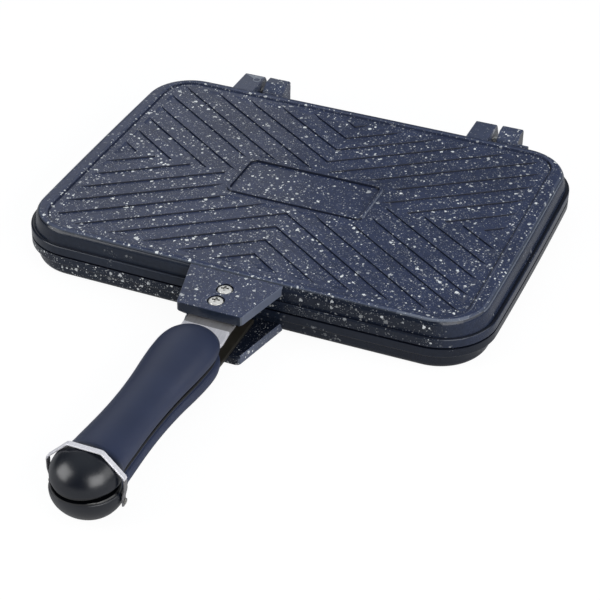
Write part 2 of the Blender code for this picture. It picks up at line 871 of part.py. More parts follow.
def make_grip_screw(name, side, station):
    near, far = tang_levels(side)
    level = seam_level(station)
    under_head = near - seat_gap
    chamfer = grip_screw_radius / 5
    stations = ((under_head - grip_screw_head_height, grip_screw_head_radius - chamfer),
                (under_head - grip_screw_head_height + chamfer, grip_screw_head_radius),
                (under_head, grip_screw_head_radius), (under_head, grip_screw_radius),
                (far + grip_screw_depth - chamfer, grip_screw_radius),
                (far + grip_screw_depth, grip_screw_radius - chamfer))
    screw = round_bar(name, stations,
                      lambda u, v, w: Vector((u, v - station, level + side * w)),
                      bright_steel, small_round_steps)
    slot_half = cross_width / 2
    reach = grip_screw_head_radius + embed
    outline = [(-reach, -slot_half - station), (reach, -slot_half - station),
               (reach, slot_half - station), (-reach, slot_half - station)]
    head_level = under_head - grip_screw_head_height
    recess = prism(outline, level + side * (head_level - embed),
                   level + side * (head_level + cross_depth), along_z)
    combine(screw, to_object("slot", recess), "DIFFERENCE")
    tidy(screw)
    shade(screw)


def latch_pivot():
    """Centre of the latch's swing, in the lower half of the ball end."""
    level = seam_level(ball_centre) - latch_pin_drop
    return Vector((0, -ball_centre, level))


def bail_path():
    """Outer edge of the loop from the right foot over the top to the left foot."""
    top = (seam_level(ball_centre) + grip_seam_gap / 2 + of_side(ball_heights, upper)
           + bail_clearance + bail_thickness)
    pivot = latch_pivot()
    right = [(bail_foot_half, pivot.z - bail_tail),
             (bail_foot_half, top - bail_foot_drop),
             (bail_shoulder_half, top - bail_knee_drop),
             (bail_shoulder_half, top - bail_shoulder_drop),
             (bail_top_half, top)]
    return right + [(-x, z) for x, z in reversed(right)]


def offset_path(path, amount):
    """Same path moved to its left by a constant amount, corners mitred."""
    moved = []
    for index, point in enumerate(path):
        directions = []
        if index > 0:
            directions.append(Vector(point) - Vector(path[index - 1]))
        if index < len(path) - 1:
            directions.append(Vector(path[index + 1]) - Vector(point))
        normals = [Vector((-item.y, item.x)).normalized() for item in directions]
        middle = sum(normals, Vector((0, 0))).normalized()
        scale = amount / middle.dot(normals[0])
        moved.append((point[0] + middle.x * scale, point[1] + middle.y * scale))
    return moved


def make_latch():
    """Strip loop that swings over the ball ends and holds the grips together."""
    outer = bail_path()
    inner = offset_path(outer, bail_thickness)
    pivot = latch_pivot()
    mesh_data = bmesh.new()
    half = bail_width / 2
    rows = []
    for (outer_x, outer_z), (inner_x, inner_z) in zip(outer, inner):
        rows.append([mesh_data.verts.new((outer_x, pivot.y - half, outer_z)),
                     mesh_data.verts.new((outer_x, pivot.y + half, outer_z)),
                     mesh_data.verts.new((inner_x, pivot.y + half, inner_z)),
                     mesh_data.verts.new((inner_x, pivot.y - half, inner_z))])
    for row, after in zip(rows, rows[1:]):
        for index in range(4):
            following = (index + 1) % 4
            mesh_data.faces.new((row[index], row[following], after[following],
                                 after[index]))
    mesh_data.faces.new(rows[0])
    mesh_data.faces.new(rows[-1])
    bail = to_object("latch_bail", mesh_data, strip_steel)
    for sign in (1, -1):
        hole = prism(circle((pivot.y, pivot.z), latch_pin_radius + latch_pin_gap,
                            small_round_steps),
                     sign * (bail_foot_half - bail_thickness - embed / 4),
                     sign * (bail_foot_half + embed), along_x)
        combine(bail, to_object("pivot_hole", hole), "DIFFERENCE")
    tidy(bail)
    shade(bail)
    set_origin(bail, pivot)


def set_origin(item, point):
    """Put an object's origin on its joint axis without moving its shape."""
    item.data.transform(Matrix.Translation(-point))
    item.location = point


def make_latch_pin(name, sign):
    pivot = latch_pivot()
    head_inner = bail_foot_half + latch_pin_gap
    inner_end = bail_foot_half - bail_thickness - latch_pin_depth
    chamfer = latch_pin_radius / 4
    stations = ((inner_end, latch_pin_radius - chamfer),
                (inner_end + chamfer, latch_pin_radius), (head_inner, latch_pin_radius),
                (head_inner, latch_pin_head_radius),
                (head_inner + latch_pin_head_height / 2, latch_pin_head_radius),
                (head_inner + latch_pin_head_height, latch_pin_head_radius * latch_pin_crown_share))
    pin = round_bar(name, stations,
                    lambda u, v, w: Vector((sign * w, pivot.y + u, pivot.z + v)),
                    bright_steel, small_round_steps)
    shade(pin)


def main():
    clear_scene()
    make_lower_pan()
    make_upper_pan()
    make_hinge_pins()
    for word, side in (("lower", lower), ("upper", upper)):
        make_tang(word + "_tang", side)
        make_grip(word + "_grip", side)
        for place, station in zip(("rear", "front"), screw_stations):
            make_bracket_screw(word + "_bracket_screw_" + place, side, station)
            make_nut(word + "_bracket_nut_" + place, side, station)
        for place, station in zip(("rear", "front"), grip_screw_stations):
            make_grip_screw(word + "_grip_screw_" + place, side, station)
    make_latch()
    make_latch_pin("latch_pin_right", 1)
    make_latch_pin("latch_pin_left", -1)
    for item in bpy.data.objects:
        if item.name.startswith("upper_"):
            set_origin(item, Vector((0, hinge_y, hinge_z)))


main()
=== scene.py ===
"""Looks of a stovetop sandwich toaster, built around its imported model."""
import math

import bmesh
import bpy
from bpy.props import (FloatProperty, FloatVectorProperty, IntProperty,
                       PointerProperty)
from bpy.types import Operator, Panel, PropertyGroup
from mathutils import Matrix, Vector


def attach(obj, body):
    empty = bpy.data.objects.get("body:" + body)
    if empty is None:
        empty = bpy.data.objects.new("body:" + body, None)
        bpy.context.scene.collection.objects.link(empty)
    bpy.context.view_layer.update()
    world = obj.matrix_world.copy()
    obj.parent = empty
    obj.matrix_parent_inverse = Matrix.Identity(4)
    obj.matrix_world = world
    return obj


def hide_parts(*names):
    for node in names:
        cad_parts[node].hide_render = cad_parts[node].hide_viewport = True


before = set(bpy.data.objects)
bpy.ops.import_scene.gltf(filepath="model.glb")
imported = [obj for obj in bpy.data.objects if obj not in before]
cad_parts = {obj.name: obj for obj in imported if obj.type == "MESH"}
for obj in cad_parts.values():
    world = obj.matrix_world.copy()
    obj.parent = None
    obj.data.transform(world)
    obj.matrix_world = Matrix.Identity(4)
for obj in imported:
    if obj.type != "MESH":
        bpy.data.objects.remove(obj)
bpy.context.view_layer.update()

bl_info = {
    "name": "Sandwich Toaster",
    "version": (1, 0, 0),
    "blender": (4, 5, 0),
    "location": "View3D > Sidebar > Toaster",
    "description": "Builds the visible pieces of a stovetop sandwich toaster",
    "category": "Object",
}

lid_side = 1
base_side = -1
sides = (base_side, lid_side)


def length(name, description, default):
    return FloatProperty(name=name, description=description, default=default,
                         unit="LENGTH", precision=5)


def pair(name, description, default):
    return FloatVectorProperty(name=name, description=description, default=default,
                               size=2, unit="LENGTH", precision=5)


def color(name, description, default):
    return FloatVectorProperty(name=name, description=description, default=default,
                               size=3, subtype="COLOR", min=0, max=1)


def number(name, description, default):
    return FloatProperty(name=name, description=description, default=default)


def count(name, description, default):
    return IntProperty(name=name, description=description, default=default, min=1)


class PanSizes(PropertyGroup):
    height: length("Closed height", "Height of the two closed pans", 0.031)
    rim_gap: length("Rim gap", "Gap between the rims", 0.0003)
    flange_half: pair("Flange half size", "Half size of the rim flange", (0.1416, 0.1032))
    flange_radius: length("Flange radius", "Corner radius of the flange", 0.0325)
    flange_height: length("Flange height", "Height of the flange", 0.0060)
    flange_round: length("Flange rounding", "Rounding of the flange's edge", 0.0011)
    wall_half: pair("Wall half size", "Half size of the wall", (0.1392, 0.1009))
    wall_draft: pair("Wall draft", "How far the wall leans in", (0.0013, 0.0004))
    wall_radius: length("Wall radius", "Corner radius of the wall", 0.0295)
    shoulder: length("Shoulder", "Rounding from the wall to the border", 0.0046)
    side_bow: length("Side bow", "How far the long sides bow out", 0.0010)
    border_half: pair("Border half size", "Inner edge of the border", (0.1287, 0.0948))
    border_radius: length("Border radius", "Corner radius of that edge", 0.018)
    panel_half: pair("Panel half size", "Half size of the sunk panel", (0.1266, 0.0927))
    panel_radius: length("Panel radius", "Corner radius of the panel", 0.016)
    panel_depth: length("Panel depth", "How far the panel is sunk", 0.0013)
    tray_rim_half: pair("Tray rim", "Half size of the tray at the rim", (0.1330, 0.0960))
    tray_rim_radius: length("Tray rim radius", "Corner radius there", 0.025)
    tray_floor_half: pair("Tray floor", "Half size of the tray's floor", (0.1290, 0.0920))
    tray_floor_radius: length("Tray floor radius", "Corner radius there", 0.021)
    tray_fillet: length("Tray fillet", "Rounding of the floor's edge", 0.0016)
    tray_depth: length("Tray depth", "Depth of each tray", 0.0108)
    edge: length("Edge rounding", "Rounding of the cast edges", 0.0005)
    seam_rise: length("Seam rise", "Step up of the flange's outer rim", 0.00040)
    seam_depth: length("Seam depth", "How far that step reaches in", 0.0022)


class RibSizes(PropertyGroup):
    depth: length("Groove depth", "Depth of the grooves", 0.0010)
    width: length("Groove width", "Width along the short side", 0.0078)
    slope: number("Groove slope", "Rise of a groove over its run", 0.706)
    wall_share: number("Wall share", "Run of a groove's wall over its depth", 0.05)
    soft_edge: length("Soft edge", "Rounding of the ribs' top edges", 0.00022)
    end_run: length("End run", "Over which length a groove's end rises", 0.0050)
    first: length("First groove", "Where the first inner groove starts", 0.0322)
    inner_pitch: length("Inner pitch", "Pitch of the grooves past the first", 0.0155)
    inner_count: count("Inner grooves", "Grooves past the first", 4)
    outer_pitch: length("Outer pitch", "Pitch of the grooves before the first", 0.0164)
    outer_count: count("Outer grooves", "Grooves before the first", 7)
    field_half: pair("Field half size", "Half size of the grooved field", (0.1228, 0.0890))
    corner_cut: length("Corner cut", "Sum of X and Y where the field's corner ends", 0.2058)
    plate_half: pair("Plate half size", "Half size of the plate on the lid", (0.0428, 0.0200))
    plate_radius: length("Plate radius", "Corner radius of the plate", 0.0048)
    plate_spread: length("Plate spread", "How much wider its foot is", 0.0004)
    plate_gap: length("Plate gap", "Bare strip around the plate", 0.0034)
    ridge_height: length("Ridge height", "Height of the plate's ridge", 0.0011)
    ridge_width: length("Ridge width", "Width of the plate's ridge", 0.0017)
    field_drop: length("Field drop", "How far the plate's field is sunk", 0.0003)


class FittingSizes(PropertyGroup):
    bracket_root: length("Bracket root", "Half width at the wall", 0.0277)
    bracket_tip: length("Bracket tip", "Half width at the front", 0.0196)
    bracket_fronts: pair("Bracket fronts", "Reach of the base's and lid's", (0.139, 0.136))
    bracket_drops: pair("Bracket drops", "Step down from the border", (0.0003, 0.0008))
    bracket_depths: pair("Bracket depths", "Thickness of each bracket", (0.0052, 0.0082))
    bracket_undercuts: pair("Bracket undercuts", "Slant under each bracket's edge",
                            (0.0008, 0.0026))
    bracket_corner: length("Bracket corner", "Corner radius in front", 0.003)
    screw_first: length("First screw", "Distance of the rear screw", 0.1144)
    screw_step: length("Screw step", "Distance between the screws", 0.0118)
    screw_radius: length("Screw radius", "Radius of the shank", 0.002)
    head_radius: length("Head radius", "Radius of the screw's head", 0.00405)
    head_height: length("Head height", "Height of the screw's head", 0.0020)
    seat_radius: length("Seat radius", "Radius of the sunk seat", 0.00485)
    seat_depth: length("Seat depth", "Depth of the sunk seat", 0.0019)
    nut_width: length("Nut width", "Nut across its flats", 0.0070)
    nut_height: length("Nut height", "Height of the nut", 0.0028)
    gap: length("Seat gap", "Gap between seated pieces", 0.0003)
    hinge_y: length("Hinge Y", "Hinge axis behind the centre", 0.1135)
    hinge_z: length("Hinge Z", "Height of the hinge axis", 0.0235)
    pin_radius: length("Pin radius", "Radius of the hinge pins", 0.002)


class HandleSizes(PropertyGroup):
    bend: length("Bend", "Where the handle starts to rise", 0.145)
    rise: number("Rise", "Rise of the handle over its run", 0.0392)
    seam: length("Seam", "Gap between the two grips", 0.0042)
    seam_lip: length("Seam lip", "How far each grip reaches into that gap", 0.0013)
    ball_centre: length("Ball centre", "Distance of the ball end", 0.275)
    ball_radii: pair("Ball radii", "Radius of the lower and upper ball", (0.0187, 0.0180))
    ball_heights: pair("Ball heights", "Height of each half ball", (0.0182, 0.0162))
    tang_half: length("Tang half width", "Half width of the tangs", 0.0135)
    tang_thickness: length("Tang thickness", "Thickness of the tangs", 0.0023)
    tang_start: length("Tang start", "Inner end of the tangs", 0.106)
    tang_end: length("Tang end", "Outer end of the tangs", 0.204)
    tang_tip_half: length("Tang tip", "Half width at the outer end", 0.0075)
    strip_width: length("Latch width", "Width of the latch strip", 0.0031)
    strip_thickness: length("Latch thickness", "Thickness of the strip", 0.0010)
    pivot_drop: length("Pivot drop", "Latch pivot under the seam", 0.0068)


class Finishes(PropertyGroup):
    coating: color("Coating", "Non-stick coating", (0.035, 0.048, 0.103))
    # Painted shade: the darker tone of the upright walls, bracket fronts, ledge and seam
    wall: color("Walls", "Coating on the upright walls", (0.014, 0.020, 0.035))
    # Painted highlight colour of lit edges and faces, partly rubbed wear
    highlight_and_wear: color("Rubbed edges", "Coating where it is thin", (0.25, 0.28, 0.34))
    speck: color("Specks", "Specks in the coating", (0.96, 0.99, 1.0))
    grip: color("Grip", "Moulded grips", (0.022, 0.033, 0.080))
    ball: color("Ball end", "Ball end of the grips", (0.003, 0.005, 0.011))
    strip: color("Strip", "Rolled steel strip", (0.88, 0.87, 0.92))
    plated: color("Plated", "Plated screws and pins", (0.95, 0.92, 0.88))


class StageSettings(PropertyGroup):
    camera_place: FloatVectorProperty(name="Camera", description="Camera's place",
                                      default=(0.3395, -0.8581, 0.5886), size=3,
                                      unit="LENGTH", precision=5)
    azimuth: FloatProperty(name="Azimuth", description="Camera's direction",
                           default=math.radians(23.04), unit="ROTATION")
    elevation: FloatProperty(name="Elevation", description="Camera's height angle",
                             default=math.radians(34.57), unit="ROTATION")
    roll: FloatProperty(name="Roll", description="Camera's roll",
                        default=math.radians(0.42), unit="ROTATION")
    lens: number("Lens", "Focal length in millimetres", 109.61)
    shift: FloatVectorProperty(name="Shift", description="Camera's shift",
                               default=(0.0595, -0.0061), size=2)


# Fixed outlines and stations, in metres

# Spans of the lugs along X, and their profiles as Y and Z
lid_lugs = ((-0.0900, -0.0763), (0.0677, 0.0812))
base_lugs = ((-0.0731, -0.0590), (0.0847, 0.0981))
lid_lug_profile = ((0.0975, 0.0307), (0.1188, 0.0307), (0.1205, 0.0290), (0.1255, 0.0190),
                   (0.1255, 0.0155), (0.1160, 0.0160), (0.1080, 0.0180), (0.0990, 0.0180))
base_lug_profile = ((0.0990, 0.0030), (0.1080, 0.0030), (0.1205, 0.0150), (0.1205, 0.0294),
                    (0.1189, 0.0310), (0.1125, 0.0310), (0.1066, 0.0272), (0.1044, 0.0230),
                    (0.1044, 0.0146), (0.0990, 0.0146))
stop_profile = ((0.0990, 0.0040), (0.1062, 0.0050), (0.1086, 0.0075), (0.1086, 0.0256),
                (0.1074, 0.0268), (0.1050, 0.0268), (0.1050, 0.0138), (0.0990, 0.0138))
stop_width = 0.0068
lug_bevel = 0.0006
lug_top = lid_lug_profile[0][1]
blind_wall = 0.0022  # at the blind end of a pin's bore
pin_inset = 0.0006  # from the lid lug's outer face
# Low ring on the lid's left lug: inner and outer radius, height, and how far it starts
# under the lug's top and leans in
ring_place = (-0.0798, 0.1127)
ring_radii = (0.0020, 0.0027)
ring_height = 0.00025
ring_sink = 0.0003
ring_slant = 0.0001

# Stations of a tang past the handle's bend, and where the lid's is set down deepest
# and where that ends
tang_stations = (-0.0062, 0.0025, 0.013, 0.031)
tang_set_places = (0.1475, 0.160)
tang_set_depth = 0.0018

# Grip sections by distance in front of the centre: distance, half width, height
grip_sections = ((0.1445, 0.0040, 0.0040), (0.1460, 0.0086, 0.0080),
                 (0.1485, 0.0118, 0.0108), (0.1520, 0.0141, 0.0128),
                 (0.1570, 0.0159, 0.0144), (0.1640, 0.0169, 0.0152),
                 (0.1740, 0.0168, 0.0152), (0.1850, 0.0161, 0.0145),
                 (0.1970, 0.0150, 0.0136), (0.2100, 0.0142, 0.0129),
                 (0.2240, 0.0139, 0.0126), (0.2370, 0.0141, 0.0128),
                 (0.2480, 0.0146, 0.0132), (0.2560, 0.0150, 0.0136),
                 (0.2610, 0.0152, 0.0138))
section_shares = (0.87, 0.26)  # width at the seam, height of the widest place
lower_height_share = 0.86

# Cross recess, and the grip screws' stations, shank and head radius, head height,
# reach into the grip, and half width and depth of their slot
cross_span, cross_width, cross_depth = 0.0044, 0.0013, 0.0009
grip_screw_stations = (0.166, 0.190)
grip_screw_sizes = (0.00175, 0.0033, 0.0018)
grip_screw_reach = 0.0062
grip_screw_slot = (0.0005, 0.0009)

# Half width of the latch loop at its corners with their depth under its top, how far
# its feet reach under the pivot, its bends and its holes
latch_corners = ((0.0200, 0.0240), (0.0212, 0.0190), (0.0212, 0.0118), (0.0094, 0.0))
latch_foot = 0.0028
latch_bend = 0.0011
latch_hole = 0.00105
# How far under the loop's top the painted shade on its legs begins
latch_shade_drop = 0.0140
# Place along X and radius; then start, height, radius and flat share of the head
rivet_stations = ((0.0140, 0.0006), (0.0142, 0.0008), (0.02025, 0.0008),
                  (0.02025, 0.0014), (0.02035, 0.0015))
rivet_dome = (0.0205, 0.00035, 0.0015, 0.25)
# Strength of the painted shade on the latch's legs and on the rivets
metal_shade_strength = 0.75

# Looks of single places

step_share = 0.75  # width of the step down to the panel, over its depth
# Painted shade in the screws' seats: how deep under the border it starts, and how low it ends
seat_shade_depth, seat_lowest = 0.0015, 0.010
# Painted highlight on the right front corner of the rim: start and inset of its end along X,
# and its Y
near_corner_start, near_corner_inset, near_corner_front = 0.10, 0.012, -0.07
# How much painted highlight, partly rubbed wear, lightens each place
highlight_and_wear_places = {"rib edge": 0.55, "plate": 0.4, "lid bracket side": 0.45,
                 "base bracket side": 0.3, "rim": 0.2, "near corner": 0.35, "ring": 1.0,
                 "lugs": 0.12}
# Start and run of the fades: painted shade and specks of the walls along X, and the
# painted light on the lid wall where it turns to the right, by its normal
wall_shades = {base_side: ((-0.02, 0.2),), lid_side: ((0.0, 0.05), (0.125, -0.02))}
wall_specks = {base_side: ((0.03, -0.06),), lid_side: ((0.01, 0.04), (0.122, -0.015))}
lit_right_turn = ((1 / 7, 5 / 7),)
# Layers of specks, the finest first: cells per metre, largest radius and share of the
# cells, raggedness, strength where they are sparse and what the patches add to it
speck_layers = ((1100.0, 0.48, 0.60, 0.4, 0.30, 0.0), (640.0, 0.50, 0.28, 0.5, 0.3, 0.7),
                (340.0, 0.42, 0.28, 0.6, 1.0, 0.0), (150.0, 0.24, 0.26, 0.8, 0.4, 0.6))
ball_start = (0.267, 0.273)  # where the grips turn dark and smooth
# Colour of the painted shade on metal faces
metal_shade_tone = (0.035, 0.032, 0.026)
# Softboxes: place, width and height, power
studio_lights = (("left_light", (-0.90, -0.80, 0.56), (0.85, 0.80), 7.0),
                 ("right_light", (0.90, -0.79, 0.54), (0.90, 0.80), 8.0),
                 ("side_light", (1.30, 0.10, 0.70), (1.20, 0.90), 5.5),
                 ("back_light", (-0.80, 0.95, 0.75), (0.80, 0.70), 0.9))


def settings():
    """The property groups of the toaster, by short name."""
    scene = bpy.context.scene
    return (scene.toaster_pan, scene.toaster_ribs, scene.toaster_fittings,
            scene.toaster_handle, scene.toaster_finishes)


def by_side(values, side):
    """The base's or the lid's of two values."""
    return values[1] if side == lid_side else values[0]


def body_of(side):
    return "lid" if side == lid_side else "base"


def word_of(side):
    return "upper" if side == lid_side else "lower"


def level(side, distance):
    """Height of a point this far from the plane where the pans meet."""
    pan = settings()[0]
    return pan.height / 2 + side * (pan.rim_gap / 2 + distance)


def half_height():
    pan = settings()[0]
    return (pan.height - pan.rim_gap) / 2


def seam_level(distance):
    """Height of the handle's middle at this distance in front of the centre."""
    pan, _, _, handle, _ = settings()
    return pan.height / 2 + handle.rise * max(0.0, distance - handle.bend)


def latch_pivot():
    handle = settings()[3]
    place = seam_level(handle.ball_centre) - handle.pivot_drop
    return Vector((0, -handle.ball_centre, place))


def screw_places():
    """Centres of a bracket's two screws, seen from above."""
    sizes = settings()[2]
    return [(0, -sizes.screw_first - index * sizes.screw_step) for index in range(2)]


# Mesh helpers


def make_object(name, mesh_data):
    """Object of a closed mesh whose faces point outward."""
    bmesh.ops.recalc_face_normals(mesh_data, faces=mesh_data.faces[:])
    mesh = bpy.data.meshes.new(name)
    mesh_data.to_mesh(mesh)
    mesh_data.free()
    item = bpy.data.objects.new(name, mesh)
    bpy.context.scene.collection.objects.link(item)
    return item


def settle(item):
    """Turn an object's modifiers into its plain mesh."""
    bpy.context.view_layer.update()
    graph = bpy.context.evaluated_depsgraph_get()
    result = bpy.data.meshes.new_from_object(item.evaluated_get(graph))
    item.modifiers.clear()
    item.data = result


def drop(item):
    mesh = item.data
    bpy.data.objects.remove(item)
    bpy.data.meshes.remove(mesh)


def combine(item, mesh_data, operation):
    """Join or cut an object with a closed mesh."""
    tool = make_object("helper", mesh_data)
    modifier = item.modifiers.new("combine", "BOOLEAN")
    modifier.operation = operation
    modifier.solver = "EXACT"
    modifier.object = tool
    settle(item)
    drop(tool)


def smooth(item, angle=32):
    """Smooth the round faces, keep the edges, and weigh normals by face size."""
    mesh_data = bmesh.new()
    mesh_data.from_mesh(item.data)
    bmesh.ops.remove_doubles(mesh_data, verts=mesh_data.verts[:], dist=2e-6)
    bmesh.ops.dissolve_degenerate(mesh_data, edges=mesh_data.edges[:], dist=2e-6)
    mesh_data.to_mesh(item.data)
    mesh_data.free()
    item.data.shade_smooth()
    item.data.set_sharp_from_angle(angle=math.radians(angle))
    modifier = item.modifiers.new("normals", "WEIGHTED_NORMAL")
    modifier.keep_sharp = True
    modifier.weight = 80
    settle(item)


def loft(rings, hoop=False):
    """Closed surface through rings, capped at both ends or joined to a hoop."""
    mesh_data = bmesh.new()
    rows = [[mesh_data.verts.new(point) for point in ring] for ring in rings]
    steps = len(rows[0])
    for row, after in zip(rows, rows[1:] + (rows[:1] if hoop else [])):
        for index in range(steps):
            following = (index + 1) % steps
            mesh_data.faces.new((row[index], row[following], after[following],
                                 after[index]))
    if not hoop:
        mesh_data.faces.new(rows[0])
        mesh_data.faces.new(rows[-1])
    return mesh_data


def circle(centre, radius, steps):
    return [(centre[0] + radius * math.cos(2 * math.pi * step / steps),
             centre[1] + radius * math.sin(2 * math.pi * step / steps))
            for step in range(steps)]


def box_outline(half_x, half_y):
    return [(-half_x, -half_y), (half_x, -half_y), (half_x, half_y), (-half_x, half_y)]


def along_x(u, v, w):
    return Vector((w, u, v))


def along_z(u, v, w):
    return Vector((u, v, w))


def prism(outline, start, end, place):
    """Closed prism of a flat outline."""
    return loft([[place(u, v, start) for u, v in outline],
                 [place(u, v, end) for u, v in outline]])


def bore(item, centre, radius, start, end, place, steps=32):
    """Cut a round hole along one axis."""
    combine(item, prism(circle(centre, radius, steps), start, end, place), "DIFFERENCE")


def level_ring(outline, side, distance):
    """A flat outline this far from the plane where the pans meet."""
    place = level(side, distance)
    return [Vector((x, y, place)) for x, y in outline]


def inset(half, amount):
    return (half[0] - amount, half[1] - amount)


def quarter_turn(steps):
    """Run and rise of a unit quarter arc from its side to its top."""
    return [(1 - math.cos(math.pi / 2 * step / steps),
             math.sin(math.pi / 2 * step / steps)) for step in range(steps + 1)]


# Pans


def rounded_outline(half, radius, bow, corner, side_steps):
    """Rounded rectangle with its long sides bowed out."""
    points = []
    for sign_x, sign_y, quarter in ((1, 1, 0), (-1, 1, 1), (-1, -1, 2), (1, -1, 3)):
        centre = (sign_x * (half[0] - radius), sign_y * (half[1] - radius))
        for step in range(corner + 1):
            angle = math.pi / 2 * (quarter + step / corner)
            points.append((centre[0] + radius * math.cos(angle),
                           centre[1] + radius * math.sin(angle)))
        last = points[-1]
        target = (-last[0], last[1]) if quarter % 2 == 0 else (last[0], -last[1])
        for step in range(1, side_steps):
            part = step / side_steps
            points.append((last[0] + part * (target[0] - last[0]),
                           last[1] + part * (target[1] - last[1])))
    return [bowed(point, half, radius, bow) for point in points]


def bowed(point, half, radius, bow):
    x, y = point
    run_x = half[0] - radius / 2
    run_y = half[1] - radius / 2
    out_x = bow * max(0.0, 1 - (y / run_y) ** 2) * x / half[0]
    out_y = bow * max(0.0, 1 - (x / run_x) ** 2) * y / half[1]
    return (x + out_x - bow * x / half[0], y + out_y - bow * y / half[1])


def pan_ring(side, half, radius, bow, distance):
    return level_ring(rounded_outline(half, radius, bow, 24, 14), side, distance)


def pan_shell(name, side):
    """Tray, rim, flange, wall, rounded shoulder, border and sunk outer panel."""
    pan = settings()[0]
    top = half_height()
    edge, bow, fillet = pan.edge, pan.side_bow, pan.tray_fillet
    # Half size, corner radius, bow and distance of each ring
    rings = []
    for step in range(6):
        turn = math.pi / 2 * step / 5
        rings.append((inset(pan.tray_floor_half, fillet * (1 - math.sin(turn))),
                      pan.tray_floor_radius, 0,
                      pan.tray_depth - fillet * (1 - math.cos(turn))))
    for run, rise in quarter_turn(3):
        rings.append((inset(pan.tray_rim_half, edge * (1 - run) - edge),
                      pan.tray_rim_radius, 0, edge * (1 - rise)))
    for distance in (0, pan.seam_rise):
        rings.append((inset(pan.flange_half, pan.seam_depth), pan.flange_radius, bow,
                      distance))
    for run, rise in reversed(quarter_turn(3)):
        rings.append((inset(pan.flange_half, edge / 2 * run), pan.flange_radius, bow,
                      pan.seam_rise + edge / 2 * (1 - rise)))
    for run, rise in quarter_turn(4):
        rings.append((inset(pan.flange_half, pan.flange_round * run), pan.flange_radius,
                      bow, pan.flange_height - pan.flange_round * (1 - rise)))
    rings.append((pan.wall_half, pan.wall_radius, bow, pan.flange_height - edge / 2))
    top_half = (pan.wall_half[0] - pan.wall_draft[0], pan.wall_half[1] - pan.wall_draft[1])
    for run, rise in quarter_turn(9):
        rings.append((inset(top_half, pan.shoulder * run),
                      pan.wall_radius - pan.shoulder * run, bow * (1 - run),
                      top - pan.shoulder * (1 - rise)))
    for drawn, radius, drop_of in ((-edge, pan.border_radius + edge, 0),
                                   (-edge / 4, pan.border_radius, edge / 8),
                                   (edge / 2, pan.border_radius - edge / 2, edge / 2)):
        rings.append((inset(pan.border_half, drawn), radius, 0, top - drop_of))
    lip = pan.panel_depth * step_share
    rings.append((inset(pan.panel_half, -lip), pan.panel_radius + lip, 0,
                  top - pan.panel_depth + lip))
    rings.append((pan.panel_half, pan.panel_radius, 0, top - pan.panel_depth))
    return make_object(name, loft([pan_ring(side, *ring) for ring in rings]))


def low_block(half, radius, side, bottom, top, spread, edge):
    """Low block with rounded corners, a wider foot and a rounded top edge."""
    rings = [(inset(half, -spread), radius + spread, bottom), (half, radius, top - edge)]
    for run, rise in quarter_turn(3)[1:]:
        rings.append((inset(half, edge * run), radius - edge * run,
                      top - edge * (1 - rise)))
    return loft([level_ring(rounded_outline(ring_half, ring_radius, 0, 9, 1), side, distance)
                 for ring_half, ring_radius, distance in rings])


def add_plate(item, side):
    """Bare plate inside a thin ridge on the lid, flat tablet under the base."""
    pan, ribs, _, _, _ = settings()
    panel = half_height() - pan.panel_depth
    rise = ribs.ridge_height if side == lid_side else pan.panel_depth
    combine(item, low_block(ribs.plate_half, ribs.plate_radius, side, panel - pan.edge,
                            panel + rise, ribs.plate_spread, pan.edge), "UNION")
    if side == lid_side:
        field_half = inset(ribs.plate_half, ribs.ridge_width)
        field_radius = ribs.plate_radius - ribs.ridge_width / 2
        spread = ribs.plate_spread / 2
        rings = [level_ring(rounded_outline(inset(field_half, -grow), field_radius + grow,
                                            0, 9, 1), side, panel + lift)
                 for grow, lift in ((0, -ribs.field_drop), (spread, rise * 0.7),
                                    (spread * 2.2, rise), (spread * 3, rise * 2))]
        combine(item, loft(rings), "DIFFERENCE")


def bracket_outline(front, root, amount):
    """Tapered plate with rounded front corners, seen from above, drawn in."""
    sizes = settings()[2]
    corner = sizes.bracket_corner - amount / 2
    tip = sizes.bracket_tip - amount
    points = [(sizes.bracket_root - amount, -root)]
    for sign in (1, -1):
        for step in range(9):
            turn = math.pi / 2 * (step / 8 if sign > 0 else 1 - step / 8)
            points.append((sign * (tip - corner + corner * math.cos(turn)),
                           -(front - amount - corner + corner * math.sin(turn))))
    points.append((amount - sizes.bracket_root, -root))
    return points


def add_bracket(item, side):
    """Bracket for the tang with the bores and sunk seats of its screws."""
    pan, _, sizes, _, _ = settings()
    top = half_height() - by_side(sizes.bracket_drops, side)
    bottom = top - by_side(sizes.bracket_depths, side)
    front = by_side(sizes.bracket_fronts, side)
    root = pan.wall_half[1] - 3 * pan.edge
    edge = pan.edge * 1.2
    undercut = by_side(sizes.bracket_undercuts, side)
    rings = [(undercut, bottom), (0, bottom + undercut)]
    rings += [(edge * run, top - edge * (1 - rise)) for run, rise in quarter_turn(3)]
    combine(item, loft([level_ring(bracket_outline(front, root, amount), side, distance)
                        for amount, distance in rings]), "UNION")
    for place in screw_places():
        bore(item, place, sizes.screw_radius + sizes.gap, level(side, bottom - pan.edge),
             level(side, top + pan.edge), along_z)
        seat = [level_ring(circle(place, sizes.seat_radius + grow, 48), side, distance)
                for grow, distance in ((0, top - sizes.seat_depth), (0, top - pan.edge / 2),
                                       (pan.edge, top + pan.edge / 2))]
        combine(item, loft(seat), "DIFFERENCE")


def depth_inside(x, y, half, radius):
    """How far a point lies inside a rounded rectangle."""
    over_x = abs(x) - half[0] + radius
    over_y = abs(y) - half[1] + radius
    outside = math.hypot(max(over_x, 0.0), max(over_y, 0.0))
    return radius - outside - min(max(over_x, over_y), 0.0)


def mark(item, name, value_of):
    """Give each face a value that the materials read as an attribute."""
    marks = item.data.attributes.new(name, "FLOAT", "FACE")
    marks.data.foreach_set("value", [value_of(face) for face in item.data.polygons])


def fade(value, spans):
    """Product of ramps that rise from 0 at a start to 1 past a run, also backwards."""
    result = 1.0
    for start, run in spans:
        result *= min(1.0, max(0.0, (value - start) / run))
    return result


